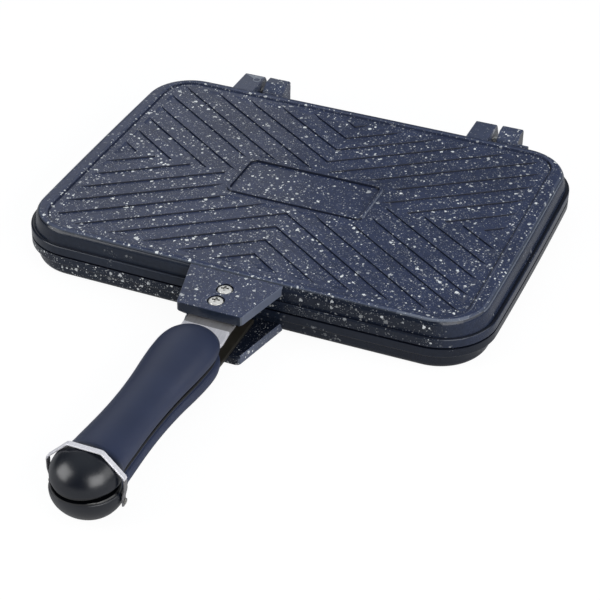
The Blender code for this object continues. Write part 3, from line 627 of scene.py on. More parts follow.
class PanMap:
    """Names the places on a pan where a face lies."""

    def __init__(self, side):
        self.side = side
        self.pan, self.ribs, self.sizes, _, _ = settings()
        self.panel = half_height() - self.pan.panel_depth
        self.shoulder_top = half_height() - self.pan.shoulder * 0.12

    def places(self, face):
        pan = self.pan
        distance = self.side * (face.center.z - pan.height / 2) - pan.rim_gap / 2
        step = pan.panel_depth * step_share
        in_step = (self.panel < distance < self.panel + step and abs(depth_inside(
            face.center.x, face.center.y, pan.panel_half, pan.panel_radius)) < step)
        tests = {"step": in_step, **self.on_panel(face, distance, in_step),
                 **self.on_walls(face, distance, in_step), **self.on_fittings(face, distance)}
        return {name for name, met in tests.items() if met}

    def on_panel(self, face, distance, in_step):
        """Grooves and their edges, the plate, and the side of the step in shade."""
        pan, ribs, panel = self.pan, self.ribs, self.panel
        x, y, _ = face.center
        slope = abs(face.normal.z)
        soft = panel - ribs.soft_edge * 0.9 < distance < panel and 0.3 < slope < 0.97
        plate = (self.side == lid_side and slope < 0.8
                 and panel - ribs.field_drop < distance < panel + ribs.ridge_height * 0.95
                 and abs(x) < ribs.plate_half[0] + ribs.plate_spread
                 and abs(y) < ribs.plate_half[1] + ribs.plate_spread)
        shaded = face.normal.y < -0.3 or (x < 0 and face.normal.x > 0.3)
        return {
            "groove": (panel - ribs.depth < distance < panel - ribs.soft_edge / 2
                       and slope < 0.5 and abs(x) < pan.panel_half[0]
                       and abs(y) < pan.panel_half[1]),
            "rib edge": soft and face.normal.y > -0.2,
            "shaded rib edge": soft and face.normal.y <= -0.2,
            "plate": plate and not shaded,
            "shaded plate": plate and shaded,
            "far step": in_step and (y > pan.panel_half[1] * 0.95
                                     or x < -pan.panel_half[0] * 0.97)}

    def on_walls(self, face, distance, in_step):
        """Seam, ledge over the flange, walls, and the rounded rim at their top."""
        pan = self.pan
        x, y, _ = face.center
        slope = abs(face.normal.z)
        inside = depth_inside(x, y, pan.flange_half, pan.flange_radius)
        rim = (self.shoulder_top - pan.edge < distance and inside > 0
               and 0.3 < slope < 0.96 and not in_step)
        return {
            "ledge": (abs(distance - pan.flange_height) < pan.edge
                      and pan.flange_round * 0.8 < inside < pan.flange_round * 2.5
                      and self.side * face.normal.z > 0.5),
            "seam": (-pan.rim_gap < distance < pan.seam_rise * 1.2
                     and inside < pan.seam_depth * 1.2),
            "wall": (-pan.edge < inside < pan.seam_depth + pan.shoulder
                     and pan.seam_rise / 2 < distance < self.shoulder_top
                     and (slope < 0.96 or distance < pan.flange_height + pan.edge)),
            "rim": rim,
            "near corner": (rim and y < near_corner_front
                            and near_corner_start < x < pan.flange_half[0] - near_corner_inset),
            "border": distance > self.shoulder_top and (x < -pan.border_half[0]
                                                        or y > pan.border_half[1])}

    def on_fittings(self, face, distance):
        """Faces of the bracket and its screws' seats, the lugs, and the ring on one."""
        pan, sizes, normal = self.pan, self.sizes, face.normal
        x, y, z = face.center
        bracket = abs(x) < sizes.bracket_root and y < -pan.flange_half[1]
        beside = bracket and abs(normal.x) > 0.6
        from_ring = abs(math.hypot(x - ring_place[0], y - ring_place[1]) - sum(ring_radii) / 2)
        on_top = abs(normal.z) >= 0.5 and distance >= half_height() - seat_shade_depth
        return {
            "seat": not on_top and distance > seat_lowest and any(
                math.hypot(x - place_x, y - place_y) < sizes.seat_radius + pan.edge
                for place_x, place_y in screw_places()),
            "bracket front": bracket and normal.y < -0.6,
            "lid bracket side": beside and self.side == lid_side,
            "base bracket side": beside and self.side == base_side,
            "base bracket": bracket and not beside and self.side == base_side,
            "ring": (self.side == lid_side and z > lug_top - 0.0005
                     and from_ring < 0.0006),
            "lugs": y > pan.flange_half[1] + pan.edge}


def painted_shade_of(where, face, side):
    """How much painted shade darkens the coating in creases, recesses, under the lid's bracket
    and on faces turned from the light.
    """
    if "groove" in where:
        return 1.0 if abs(face.normal.y) > 0.5 else 0.75
    if where & {"far step", "base bracket", "shaded rib edge"}:
        return 0.6
    if "wall" in where and not where & {"ledge", "seam"}:
        shade = fade(face.center.x, wall_shades[side])
        shade = min(0.6, shade) if side == base_side else 0.5 * shade
        if shade:
            return shade
    return float(bool(where & {"step", "ledge", "seam", "shaded plate", "seat"}))


def wall_shade_of(where, face, side):
    """How much a face has the walls' painted shade, less on the lid's wall where it turns to
    the right, as painted light.
    """
    if side == lid_side and "wall" in where and "ledge" not in where:
        return 1 - 0.4 * fade(face.normal.x, lit_right_turn)
    return float(bool(where & {"wall", "ledge", "seam", "bracket front", "base bracket"}))


def bare_of(where, face, side):
    """How far a face is without specks."""
    if "wall" in where:
        return 1 - fade(face.center.x, wall_specks[side])
    if "border" in where:
        return 0.8
    if "base bracket" in where:
        return 0.4
    return float(side == lid_side and bool(where & {"bracket front", "lid bracket side"}))


def highlight_and_wear_of(where, face, side):
    """How much painted highlight, partly rubbed wear, lightens a face."""
    return min(1.0, sum(amount for place, amount in highlight_and_wear_places.items() if place in where))


def mark_faces(item, side):
    """Attributes of the coating: painted shade in creases, the walls' painted shade, faces
    without specks, and painted highlight with rubbed wear.
    """
    pan_map = PanMap(side)
    places = [pan_map.places(face) for face in item.data.polygons]
    for name, value_of in (("painted_shade", painted_shade_of), ("wall", wall_shade_of), ("bare", bare_of),
                           ("edge", highlight_and_wear_of)):
        mark(item, name, lambda face: value_of(places[face.index], face, side))


def lug(profile, span, bevel):
    """Mesh of a lug, with its edges behind the wall rounded."""
    mesh_data = prism(profile, span[0], span[1], along_x)
    bmesh.ops.recalc_face_normals(mesh_data, faces=mesh_data.faces[:])
    if bevel:
        wall = settings()[0].wall_half[1]
        edges = [edge for edge in mesh_data.edges
                 if min(vert.co.y for vert in edge.verts) > wall + bevel]
        bmesh.ops.bevel(mesh_data, geom=edges, offset=bevel, segments=4, profile=0.5,
                        affect="EDGES", clamp_overlap=True)
    return mesh_data


def add_ring(item):
    """Low ring that the casting tool left on the lid's left lug."""
    inner, outer = ring_radii
    low, high = lug_top - ring_sink, lug_top + ring_height
    rings = [[Vector((x, y, place)) for x, y in circle(ring_place, radius, 40)]
             for radius, place in ((inner, low), (outer, low), (outer - ring_slant, high),
                                   (inner + ring_slant, high))]
    combine(item, loft(rings, hoop=True), "UNION")


def add_lugs(item, side):
    """Hinge lugs on the back wall, bored for their pins."""
    pan, _, sizes, _, _ = settings()
    if side == base_side:
        right = base_lugs[1][1]
        combine(item, lug(stop_profile, (right - pan.edge, right + stop_width), 0), "UNION")
    profile = by_side((base_lug_profile, lid_lug_profile), side)
    for start, end in by_side((base_lugs, lid_lugs), side):
        combine(item, lug(profile, (start, end), lug_bevel), "UNION")
        far = end + pan.edge if side == lid_side else end - blind_wall
        bore(item, (sizes.hinge_y, sizes.hinge_z), sizes.pin_radius + sizes.gap,
             start - pan.edge, far, along_x, 48)


# Node trees


class NodeWriter:
    """Adds nodes to a tree from left to right and links them."""

    def __init__(self, tree):
        self.tree = tree
        self.column = 0

    def put(self, socket, value):
        """Link an input to an output, or give it a value."""
        if isinstance(value, bpy.types.NodeSocket):
            self.tree.links.new(value, socket)
        else:
            socket.default_value = value

    def fill(self, node, inputs):
        for name, value in inputs.items():
            self.put(node.inputs[name], value)

    def add(self, kind, inputs=None, **choices):
        node = self.tree.nodes.new(kind)
        self.column += 1
        node.location = (180 * self.column, -140 * (self.column % 4))
        for name, value in choices.items():
            setattr(node, name, value)
        self.fill(node, inputs or {})
        return node

    def math(self, operation, *values):
        inputs = dict(enumerate(values))
        return self.add("ShaderNodeMath", inputs, operation=operation).outputs[0]

    def vector_math(self, operation, inputs):
        return self.add("ShaderNodeVectorMath", inputs, operation=operation)

    def vector(self, x, y, z):
        return self.add("ShaderNodeCombineXYZ", {"X": x, "Y": y, "Z": z}).outputs[0]

    def attribute(self, name):
        return self.add("ShaderNodeAttribute", attribute_name=name).outputs["Fac"]

    def noise(self, place, scale, detail=2.0, rough=0.5, output=0):
        node = self.add("ShaderNodeTexNoise", {"Vector": place, "Scale": scale,
                                               "Detail": detail, "Roughness": rough})
        return node.outputs[output]

    def ramp(self, value, low, high):
        """0 under low, 1 over high, with soft ends."""
        return self.add("ShaderNodeMapRange", {"Value": value, "From Min": low,
                                               "From Max": high},
                        interpolation_type="SMOOTHSTEP").outputs[0]

    def mix(self, factor, first, second):
        """Mix of two colours, each a socket or three numbers."""
        node = self.add("ShaderNodeMix", {0: factor}, data_type="RGBA")
        sockets = [socket for socket in node.inputs if socket.type == "RGBA"]
        for socket, value in zip(sockets, (first, second)):
            linked = isinstance(value, bpy.types.NodeSocket)
            self.put(socket, value if linked else (*value, 1))
        return [socket for socket in node.outputs if socket.type == "RGBA"][0]

    def bump(self, height, strength, distance):
        return self.add("ShaderNodeBump", {"Height": height, "Strength": strength,
                                           "Distance": distance}).outputs[0]

    def seen(self, rays):
        """1 for what the camera sees, also through glass."""
        return self.math("MAXIMUM", rays.outputs["Is Camera Ray"],
                         rays.outputs["Is Transmission Ray"])

    def end_in(self, kind, factor, first, second):
        """End a shader tree in the mix of two shaders."""
        mixed = self.add("ShaderNodeMixShader", {0: factor, 1: first.outputs[0],
                                                 2: second.outputs[0]})
        self.add(kind, {"Surface": mixed.outputs[0]})


def geometry_tree(name, inputs):
    """Empty geometry tree with named inputs; returns its writer and their sockets."""
    tree = bpy.data.node_groups.new(name, "GeometryNodeTree")
    for label, kind in {"Geometry": "Geometry", **inputs}.items():
        tree.interface.new_socket(label, in_out="INPUT", socket_type="NodeSocket" + kind)
    tree.interface.new_socket("Geometry", in_out="OUTPUT",
                              socket_type="NodeSocketGeometry")
    return NodeWriter(tree), tree.nodes.new("NodeGroupInput").outputs


def close_tree(writer, geometry, material):
    """End a tree in real geometry with its material."""
    real = writer.add("GeometryNodeRealizeInstances", {"Geometry": geometry})
    named = writer.add("GeometryNodeSetMaterial", {"Geometry": real.outputs[0],
                                                   "Material": material})
    writer.add("NodeGroupOutput", {0: named.outputs[0]})
    return writer.tree


def run_tree(item, tree, values):
    """Run a geometry tree on an object and keep the result as its plain mesh."""
    modifier = item.modifiers.new(tree.name, "NODES")
    modifier.node_group = tree
    for socket in tree.interface.items_tree:
        if socket.item_type == "SOCKET" and socket.name in values:
            modifier[socket.identifier] = values[socket.name]
    settle(item)


def row_of_points(writer, count, start, step):
    """Points in a straight row."""
    return writer.add("GeometryNodeMeshLine", {"Count": count, "Start Location": start,
                                               "Offset": step}).outputs[0]


def copies_on(writer, points, piece, turn):
    """Copies of an object on points, turned round Z."""
    shape = writer.add("GeometryNodeObjectInfo", {"Object": piece}).outputs["Geometry"]
    return writer.add("GeometryNodeInstanceOnPoints", {
        "Points": points, "Instance": shape,
        "Rotation": writer.vector(0.0, 0.0, turn)}).outputs[0]


def boolean(writer, operation, shapes, base=None):
    node = writer.add("GeometryNodeMeshBoolean", operation=operation, solver="EXACT")
    if base is not None:
        writer.put(node.inputs["Mesh 1"], base)
    for shape in shapes:
        writer.put(node.inputs["Mesh 2"], shape)
    return node.outputs[0]


def groove_tree():
    """Bars on two rows of points, kept in one quarter field, mirrored and cut out."""
    writer, start = geometry_tree("chevron_grooves", {
        "Field": "Object", "Bar": "Object", "Angle": "Float", "First": "Float",
        "Inner Pitch": "Float", "Inner Count": "Int", "Outer Pitch": "Float",
        "Outer Count": "Int", "Material": "Material"})
    inner = row_of_points(writer, start["Inner Count"],
                          writer.vector(0.0, start["First"], 0.0),
                          writer.vector(0.0, start["Inner Pitch"], 0.0))
    below = writer.math("SUBTRACT", start["First"], start["Inner Pitch"])
    back = writer.math("MULTIPLY", start["Outer Pitch"], -1.0)
    outer = row_of_points(writer, start["Outer Count"], writer.vector(0.0, below, 0.0),
                          writer.vector(0.0, back, 0.0))
    points = writer.add("GeometryNodeJoinGeometry")
    for row in (inner, outer):
        writer.put(points.inputs[0], row)
    bars = writer.add("GeometryNodeRealizeInstances", {
        0: copies_on(writer, points.outputs[0], start["Bar"], start["Angle"])}).outputs[0]
    field = writer.add("GeometryNodeObjectInfo", {"Object": start["Field"]})
    grooves = boolean(writer, "INTERSECT", (bars, field.outputs["Geometry"]))
    for scale in ((-1.0, 1.0, 1.0), (1.0, -1.0, 1.0)):
        turned_over = writer.add("GeometryNodeTransform", {"Geometry": grooves,
                                                           "Scale": scale})
        flipped = writer.add("GeometryNodeFlipFaces", {"Mesh": turned_over.outputs[0]})
        grooves = boolean(writer, "UNION", (grooves, flipped.outputs[0]))
    cut = boolean(writer, "DIFFERENCE", (grooves,), start["Geometry"])
    return close_tree(writer, cut, start["Material"])


def row_tree():
    """Copies of one piece in a straight row, each turned a little differently."""
    writer, start = geometry_tree("row_of_pieces", {
        "Piece": "Object", "Count": "Int", "Start": "Vector", "Step": "Vector",
        "Turn": "Float", "Spread": "Float", "Material": "Material"})
    points = row_of_points(writer, start["Count"], start["Start"], start["Step"])
    chance = writer.add("FunctionNodeRandomValue", {"Seed": 7}, data_type="FLOAT")
    limits = [socket for socket in chance.inputs if socket.type == "VALUE"]
    for limit, operation in zip(limits, ("SUBTRACT", "ADD")):
        writer.put(limit, writer.math(operation, start["Turn"], start["Spread"]))
    turn = [socket for socket in chance.outputs if socket.type == "VALUE"][0]
    return close_tree(writer, copies_on(writer, points, start["Piece"], turn),
                      start["Material"])


# Materials


def new_material(name):
    """A material with its writer, shader and the coordinates that its patterns use."""
    material = bpy.data.materials.new(name)
    material.use_nodes = True
    writer = NodeWriter(material.node_tree)
    shader = material.node_tree.nodes["Principled BSDF"]
    return material, writer, shader, writer.add("ShaderNodeTexCoord").outputs["Object"]


def toned(color_values, factor):
    """A colour made darker or lighter."""
    return tuple(min(1.0, value * factor) for value in color_values)


def speck_layer(writer, place, scale, radius, chance, ragged):
    """Ragged specks: one in a share of the cells, each of its own size and paleness."""
    wobble = writer.noise(place, scale * 2.2, 1.0, output="Color")
    centred = writer.vector_math("SUBTRACT", {0: wobble, 1: (0.5, 0.5, 0.5)})
    shifted = writer.vector_math("SCALE", {0: centred.outputs[0], "Scale": ragged / scale})
    moved = writer.vector_math("ADD", {0: place, 1: shifted.outputs[0]})
    cells = writer.add("ShaderNodeTexVoronoi", {"Vector": moved.outputs[0], "Scale": scale})
    chances = writer.add("ShaderNodeSeparateColor", {"Color": cells.outputs["Color"]})
    present = writer.math("LESS_THAN", chances.outputs[0], chance)
    grown = writer.math("POWER", chances.outputs[1], 2.0)
    size = writer.math("MULTIPLY_ADD", grown, radius * 0.7, radius * 0.3)
    inside = writer.math("SUBTRACT", size, cells.outputs["Distance"])
    mask = writer.ramp(inside, 0.0, radius * 0.10)
    pale = writer.math("MULTIPLY_ADD", chances.outputs[2], 0.85, 0.42)
    return writer.math("MULTIPLY", writer.math("MULTIPLY", mask, present), pale)


def coating_specks(writer, place):
    """All layers of specks, thinned out in patches."""
    patchy = writer.ramp(writer.noise(place, 55.0), 0.32, 0.60)
    every = 0.0
    for scale, radius, chance, ragged, least, more in speck_layers:
        layer = speck_layer(writer, place, scale, radius, chance, ragged)
        strength = writer.math("MULTIPLY_ADD", patchy, more, least)
        every = writer.math("MAXIMUM", every, writer.math("MULTIPLY", layer, strength))
    return every


def coating_material():
    """Dark blue-grey non-stick coating with pale specks, slightly pebbled, with painted shade
    and painted highlight from face attributes.
    """
    finishes = settings()[4]
    material, writer, shader, place = new_material("pan_coating")
    # Painted shade, the walls' painted shade, faces without specks, and painted highlight with
    # rubbed wear
    painted_shade, wall, bare, edge = (writer.attribute(name)
                                for name in ("painted_shade", "wall", "bare", "edge"))
    cloud = writer.ramp(writer.noise(place, 28.0, 3.0), 0.3, 0.7)
    mottle = writer.ramp(writer.noise(place, 420.0, 3.0, 0.7), 0.3, 0.7)
    tone = writer.math("ADD", writer.math("MULTIPLY", cloud, 0.4),
                       writer.math("MULTIPLY", mottle, 0.6))
    deep = toned(finishes.coating, 0.72)
    ground = writer.mix(tone, deep, toned(finishes.coating, 1.28))
    shade = writer.math("MULTIPLY_ADD", tone, 0.4, 0.8)
    # Painted shade on the walls, bracket fronts, ledge and seam
    painted_wall_shade = writer.vector_math("SCALE", {0: tuple(finishes.wall), "Scale": shade})
    ground = writer.mix(wall, ground, painted_wall_shade.outputs[0])
    # Painted highlight on lit edges and faces, partly rubbed wear
    ground = writer.mix(edge, ground, finishes.highlight_and_wear)
    # Painted shade in creases, recesses and on faces turned from the light
    ground = writer.mix(writer.math("MULTIPLY", painted_shade, 0.88), ground, toned(deep, 0.2))
    strewn = writer.ramp(writer.noise(place, 60.0), 0.60, 0.66)
    swept = writer.math("MULTIPLY", bare, writer.math("MULTIPLY_ADD", strewn, -0.3, 1.0))
    # The specks stay off the painted shade too
    uncovered = writer.math("SUBTRACT", 1.0, writer.math("MAXIMUM", swept, painted_shade))
    specks = writer.math("MULTIPLY", coating_specks(writer, place), uncovered)
    grain = writer.noise(place, 1100.0)
    rough = writer.math("MULTIPLY_ADD", grain, 0.12, 0.24)
    raised = writer.math("MULTIPLY_ADD", specks, 0.6, writer.math("MULTIPLY", grain, 0.30))
    writer.fill(shader, {
        "Base Color": writer.mix(specks, ground, finishes.speck),
        "Roughness": writer.math("MULTIPLY_ADD", wall, -0.06, rough),
        "Specular IOR Level": 0.22, "Coat Weight": 0.45, "Coat Roughness": 0.12,
        "Normal": writer.bump(raised, 0.22, 0.0002)})
    return material


def grip_material():
    """Satin moulded plastic with a fine grain, darker and smoother on the ball end, with
    painted shade at the seam.
    """
    finishes = settings()[4]
    material, writer, shader, place = new_material("grip_plastic")
    cloud = writer.noise(place, 45.0)
    along = writer.add("ShaderNodeSeparateXYZ", {0: place}).outputs[1]
    ball = writer.ramp(writer.math("MULTIPLY", along, -1.0), *ball_start)
    tone = writer.mix(cloud, toned(finishes.grip, 0.85), toned(finishes.grip, 1.15))
    tone = writer.mix(ball, tone, finishes.ball)
    # Painted shade on the faces at the seam between the grips
    tone = writer.mix(writer.attribute("painted_shade"), tone, toned(finishes.ball, 0.25))
    satin = writer.math("MULTIPLY_ADD", cloud, 0.06, 0.45)
    writer.fill(shader, {
        "Base Color": tone, "Roughness": writer.math("MULTIPLY_ADD", ball, -0.18, satin),
        "Specular IOR Level": 0.85,
        "Normal": writer.bump(writer.noise(place, 1400.0), 0.03, 0.0001)})
    return material


def metal_material(name, tone, metallic, roughness, stretch, relief):
    """Metal with fine lines along its rolling or turning direction, and painted shade on marked
    faces.
    """
    material, writer, shader, place = new_material(name)
    mapped = writer.add("ShaderNodeMapping", {"Vector": place, "Scale": stretch})
    lines = writer.noise(mapped.outputs[0], 1.0, 4.0, 0.6)
    shown = writer.mix(writer.ramp(lines, 0.25, 0.75), toned(tone, 0.90), toned(tone, 1.08))
    cloud = writer.noise(place, 160.0)
    writer.fill(shader, {
        # Painted shade where a face is marked
        "Base Color": writer.mix(writer.attribute("metal_shade"), shown, metal_shade_tone),
        "Metallic": metallic,
        "Roughness": writer.math("MULTIPLY_ADD", cloud, roughness * 0.6, roughness * 0.7),
        "Normal": writer.bump(lines, relief, 0.0001)})
    return material


def finish(name):
    """A new material of the finish with this name."""
    finishes = settings()[4]
    if name == "pan_coating":
        return coating_material()
    if name == "grip_plastic":
        return grip_material()
    if name == "strip_steel":
        return metal_material(name, finishes.strip, metallic=0.20, roughness=0.32,
                              stretch=(900.0, 40.0, 900.0), relief=0.04)
    return metal_material(name, finishes.plated, metallic=0.25, roughness=0.25,
                          stretch=(500.0, 500.0, 500.0), relief=0.02)


def hand_over(item, side_body, slot, nodes, material=None):
    """Give a finished piece its material, body and the nodes that it stands for."""
    item.data.materials.clear()
    item.data.materials.append(material or finish(slot))
    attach(item, side_body)
    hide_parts(*nodes)


# Operators


class TOASTER_OT_pans(Operator):
    """Cast pans with their plate, grooves, bracket and hinge lugs"""
    bl_idname = "toaster.pans"
    bl_label = "Pans"

    def execute(self, context):
        ribs = settings()[1]
        tree = groove_tree()
        for side in sides:
            item = pan_shell(word_of(side) + "_pan_cast", side)
            add_plate(item, side)
            bar = make_object("groove_bar", self.groove_bar(side))
            field = make_object("groove_field", self.quarter_field(side))
            coating = finish("pan_coating")
            run_tree(item, tree, {
                "Field": field, "Bar": bar, "Angle": math.atan(ribs.slope),
                "First": ribs.first, "Inner Pitch": ribs.inner_pitch,
                "Inner Count": ribs.inner_count, "Outer Pitch": ribs.outer_pitch,
                "Outer Count": ribs.outer_count, "Material": coating})
            drop(bar)
            drop(field)
            add_bracket(item, side)
            add_lugs(item, side)
            if side == lid_side:
                add_ring(item)
            smooth(item)
            mark_faces(item, side)
            hand_over(item, body_of(side), "pan_coating", [word_of(side) + "_pan"], coating)
        return {"FINISHED"}

    def groove_bar(self, side):
        """Bar as long as the panel that cuts one groove with rounded top edges."""
        pan, ribs, _, _, _ = settings()
        panel = half_height() - pan.panel_depth
        half = ribs.width * math.cos(math.atan(ribs.slope)) / 2
        edge = [(half - ribs.depth * ribs.wall_share, panel - ribs.depth)]
        edge += [(half + ribs.soft_edge * run, panel - ribs.soft_edge * (1 - rise))
                 for run, rise in quarter_turn(3)]
        edge.append((half + ribs.soft_edge, panel + ribs.depth))
        profile = edge + [(-y, distance) for y, distance in reversed(edge)]
        reach = 2 * ribs.field_half[0]
        return loft([[Vector((x, y, level(side, distance))) for y, distance in profile]
                     for x in (-reach, reach)])

    def quarter_field(self, side):
        """Quarter of the grooved field, drawn in at the groove floors so ends rise."""
        pan, ribs, _, _, _ = settings()
        panel = half_height() - pan.panel_depth
        drawn = ribs.end_run * ((ribs.depth + pan.edge) / ribs.depth)
        return loft([level_ring(self.field_outline(amount), side, distance)
                     for amount, distance in ((drawn, panel - ribs.depth - pan.edge),
                                              (0, panel), (0, panel + ribs.depth / 2))])

    def field_outline(self, drawn):
        """An L round the plate with its outer corner cut off, drawn in."""
        pan, ribs, _, _, _ = settings()
        lap = pan.edge / 10
        edge_x = ribs.field_half[0] - drawn
        edge_y = ribs.field_half[1] - drawn
        cut = ribs.corner_cut - drawn * math.sqrt(2)
        stop_x = ribs.plate_half[0] + ribs.plate_gap + drawn
        stop_y = ribs.plate_half[1] + ribs.plate_gap + drawn
        return [(stop_x, -lap), (edge_x, -lap), (edge_x, cut - edge_x),
                (cut - edge_y, edge_y), (-lap, edge_y), (-lap, stop_y), (stop_x, stop_y)]


def turned(name, stations, place, steps):
    """Turned piece: rings of given radius at given positions along its axis."""
    return make_object(name, loft([[place(u, v, position)
                                    for u, v in circle((0, 0), radius, steps)]
                                   for position, radius in stations]))


def dome(start, height, radius, flat, steps):
    """Stations of a rounded head that ends in a flat share of its radius."""
    return [(start + height * rise, radius * (1 - (1 - flat) * run))
            for run, rise in quarter_turn(steps)]


class TOASTER_OT_hinge(Operator):
    """Pins of the two hinge joints"""
    bl_idname = "toaster.hinge"
    bl_label = "Hinge Pins"

    def execute(self, context):
        pan, _, sizes, _, _ = settings()
        radius = sizes.pin_radius
        soft = pan.edge * 0.8
        round_end = [(soft * (1 - rise), radius - soft * run)
                     for run, rise in quarter_turn(4)]
        for name, lid_span, base_span in (("hinge_pin_left", lid_lugs[0], base_lugs[0]),
                                          ("hinge_pin_right", lid_lugs[1], base_lugs[1])):
            start = lid_span[0] + pin_inset
            end = base_span[1] - blind_wall - sizes.gap
            stations = [(start, radius * 0.4), (start + soft * 0.15, radius - soft)]
            stations += [(start + drawn, ring) for drawn, ring in reversed(round_end[:-1])]
            stations += [(end - drawn, ring) for drawn, ring in round_end]
            item = turned(name + "_bar", stations,
                          lambda u, v, w: Vector((w, sizes.hinge_y + u, sizes.hinge_z + v)),
                          48)
            smooth(item)
            hand_over(item, "base", "fastener_steel", [name])
        return {"FINISHED"}


def tang_levels(side):
    """Near and far faces of a tang, counted from the handle's middle."""
    pan, _, sizes, handle, _ = settings()
    far = (pan.rim_gap / 2 + half_height() - by_side(sizes.bracket_drops, side)
           - by_side(sizes.bracket_depths, side) - sizes.gap)
    return far - handle.tang_thickness, far


def tang_set(distance, side):
    """How far the lid's tang is set down in front of its bracket."""
    start = settings()[2].bracket_fronts[1] + 0.0010
    deepest, end = tang_set_places
    if side == base_side or not start < distance < end:
        return 0.0
    if distance < deepest:
        return tang_set_depth * (distance - start) / (deepest - start)
    return tang_set_depth * (end - distance) / (end - deepest)


def strip_corners(half_width, near, far, edge):
    """Section of a strip with bevelled edges."""
    return ((-half_width, near + edge), (-half_width + edge, near),
            (half_width - edge, near), (half_width, near + edge),
            (half_width, far - edge), (half_width - edge, far),
            (-half_width + edge, far), (-half_width, far - edge))


def strip_ring(distance, half_width, near, far, side, edge):
    place = seam_level(distance) - tang_set(distance, side)
    return [Vector((x, -distance, place + side * z))
            for x, z in strip_corners(half_width, near, far, edge)]


def tang_outline(extra):
    """Distance and half width along a tang."""
    handle = settings()[3]
    half = handle.tang_half + extra
    tip = handle.tang_tip_half + extra
    widths = (half, half, half, tip)
    return [(handle.tang_start - extra, half),
            *((handle.bend + past, width) for past, width in zip(tang_stations, widths)),
            (handle.tang_end + extra, tip)]


class TOASTER_OT_tangs(Operator):
    """Steel tangs from the brackets into the grips"""
    bl_idname = "toaster.tangs"
    bl_label = "Tangs"

    def execute(self, context):
        pan, _, sizes, handle, _ = settings()
        shade_end = handle.bend + tang_stations[0]
        for side in sides:
            near, far = tang_levels(side)
            item = make_object(word_of(side) + "_tang_strip", loft(
                [strip_ring(distance, half, near, far, side, pan.edge / 2)
                 for distance, half in tang_outline(0)]))
            for place in screw_places():
                bore(item, place, sizes.screw_radius + sizes.gap, pan.height / 2,
                     pan.height / 2 + side * far * 1.3, along_z)
            smooth(item)
            # Painted shade: all of the lower tang, the tangs' undersides, and the lid tang's
            # top just in front of its bracket
            mark(item, "metal_shade", lambda face: (
                1.0 if side == base_side or face.normal.z < -0.5
                else 0.65 if -face.center.y < shade_end else 0.0))
            hand_over(item, body_of(side), "strip_steel", [word_of(side) + "_tang"])
        return {"FINISHED"}


def spline(stations, parts):
    """Points between stations on a smooth curve through them."""
    result = []
    last = len(stations) - 1
    for index in range(last):
        before = stations[max(0, index - 1)]
        here = stations[index]
        there = stations[index + 1]
        after = stations[min(last, index + 2)]
        for part in range(parts):
            t = part / parts
            point = []
            for a, b, c, d in zip(before, here, there, after):
                point.append(0.5 * (2 * b + (c - a) * t
                                    + (2 * a - 5 * b + 4 * c - d) * t * t
                                    + (3 * b - a - 3 * c + d) * t ** 3))
            result.append(tuple(point))
    result.append(stations[-1])
    return result


def half_section(half_width, rise, seam_share, belly_share):
    """Right half of a grip's section: seam lip, belly and crown."""
    lip = settings()[3].seam_lip
    points = [(half_width * (seam_share - 0.06), -lip),
              (half_width * (seam_share - 0.03), -lip * 0.8),
              (half_width * (seam_share - 0.01), -lip / 4)]
    belly = rise * belly_share
    for step in range(6):
        turn = math.pi / 2 * step / 6
        points.append((half_width * (seam_share + (1 - seam_share) * math.sin(turn)),
                       belly * (1 - math.cos(turn))))
    for step in range(15):
        turn = math.pi / 2 * step / 14
        points.append((half_width * math.cos(turn),
                       belly + (rise - belly) * math.sin(turn)))
    return points


class TOASTER_OT_grips(Operator):
    """Moulded grips, one on each tang, ending in the two halves of a ball"""
    bl_idname = "toaster.grips"
    bl_label = "Grips"

    def execute(self, context):
        _, _, sizes, handle, _ = settings()
        reach = handle.seam / 2 - handle.seam_lip * 0.25
        for side in sides:
            rings = []
            for distance, half, rise, seam_share, belly_share in self.sections(side):
                right = half_section(half, rise, seam_share, belly_share)
                outline = right + [(-x, z) for x, z in reversed(right[:-1])]
                rings.append([Vector((x, -distance, seam_level(distance)
                                      + side * (handle.seam / 2 + z)))
                              for x, z in outline])
            item = make_object(word_of(side) + "_grip_shell", loft(rings))
            near, far = tang_levels(side)
            slot = [strip_ring(distance, half, near - sizes.gap, far + sizes.gap, side, 0)
                    for distance, half in tang_outline(sizes.gap)]
            combine(item, loft([[ring[index] for index in (0, 3, 4, 7)] for ring in slot]),
                    "DIFFERENCE")
            smooth(item, 40)
            # Painted shade along the seam between the grips
            mark(item, "painted_shade", lambda face: float(
                side * (face.center.z - seam_level(-face.center.y)) < reach))
            hand_over(item, body_of(side), "grip_plastic", [word_of(side) + "_grip"])
        return {"FINISHED"}

    def sections(self, side):
        """Distance, half width, height and the two shape shares of each section."""
        handle = settings()[3]
        tall = 1.0 if side == lid_side else lower_height_share
        seam_share, belly_share = section_shares
        result = [(distance, half, rise * tall, seam_share, belly_share)
                  for distance, half, rise in spline(grip_sections, 4)]
        radius = by_side(handle.ball_radii, side)
        rise = by_side(handle.ball_heights, side)
        first = -math.acos(grip_sections[-1][1] / radius)
        steps = 30
        for step in range(1, steps + 1):
            turn = first + (math.pi / 2 - first) * step / (steps + 0.12)
            blend = min(1.0, step / (steps * 0.36))
            blend = blend * blend * (3 - 2 * blend)
            result.append((handle.ball_centre + radius * math.sin(turn),
                           radius * math.cos(turn), rise * math.cos(turn),
                           seam_share + blend * 0.085, belly_share - blend * 0.14))
        return result


def cut_cross(item, span, width, top, depth):
    for wide, narrow in ((span / 2, width / 2), (width / 2, span / 2)):
        combine(item, prism(box_outline(wide, narrow), top - depth, top + depth, along_z),
                "DIFFERENCE")


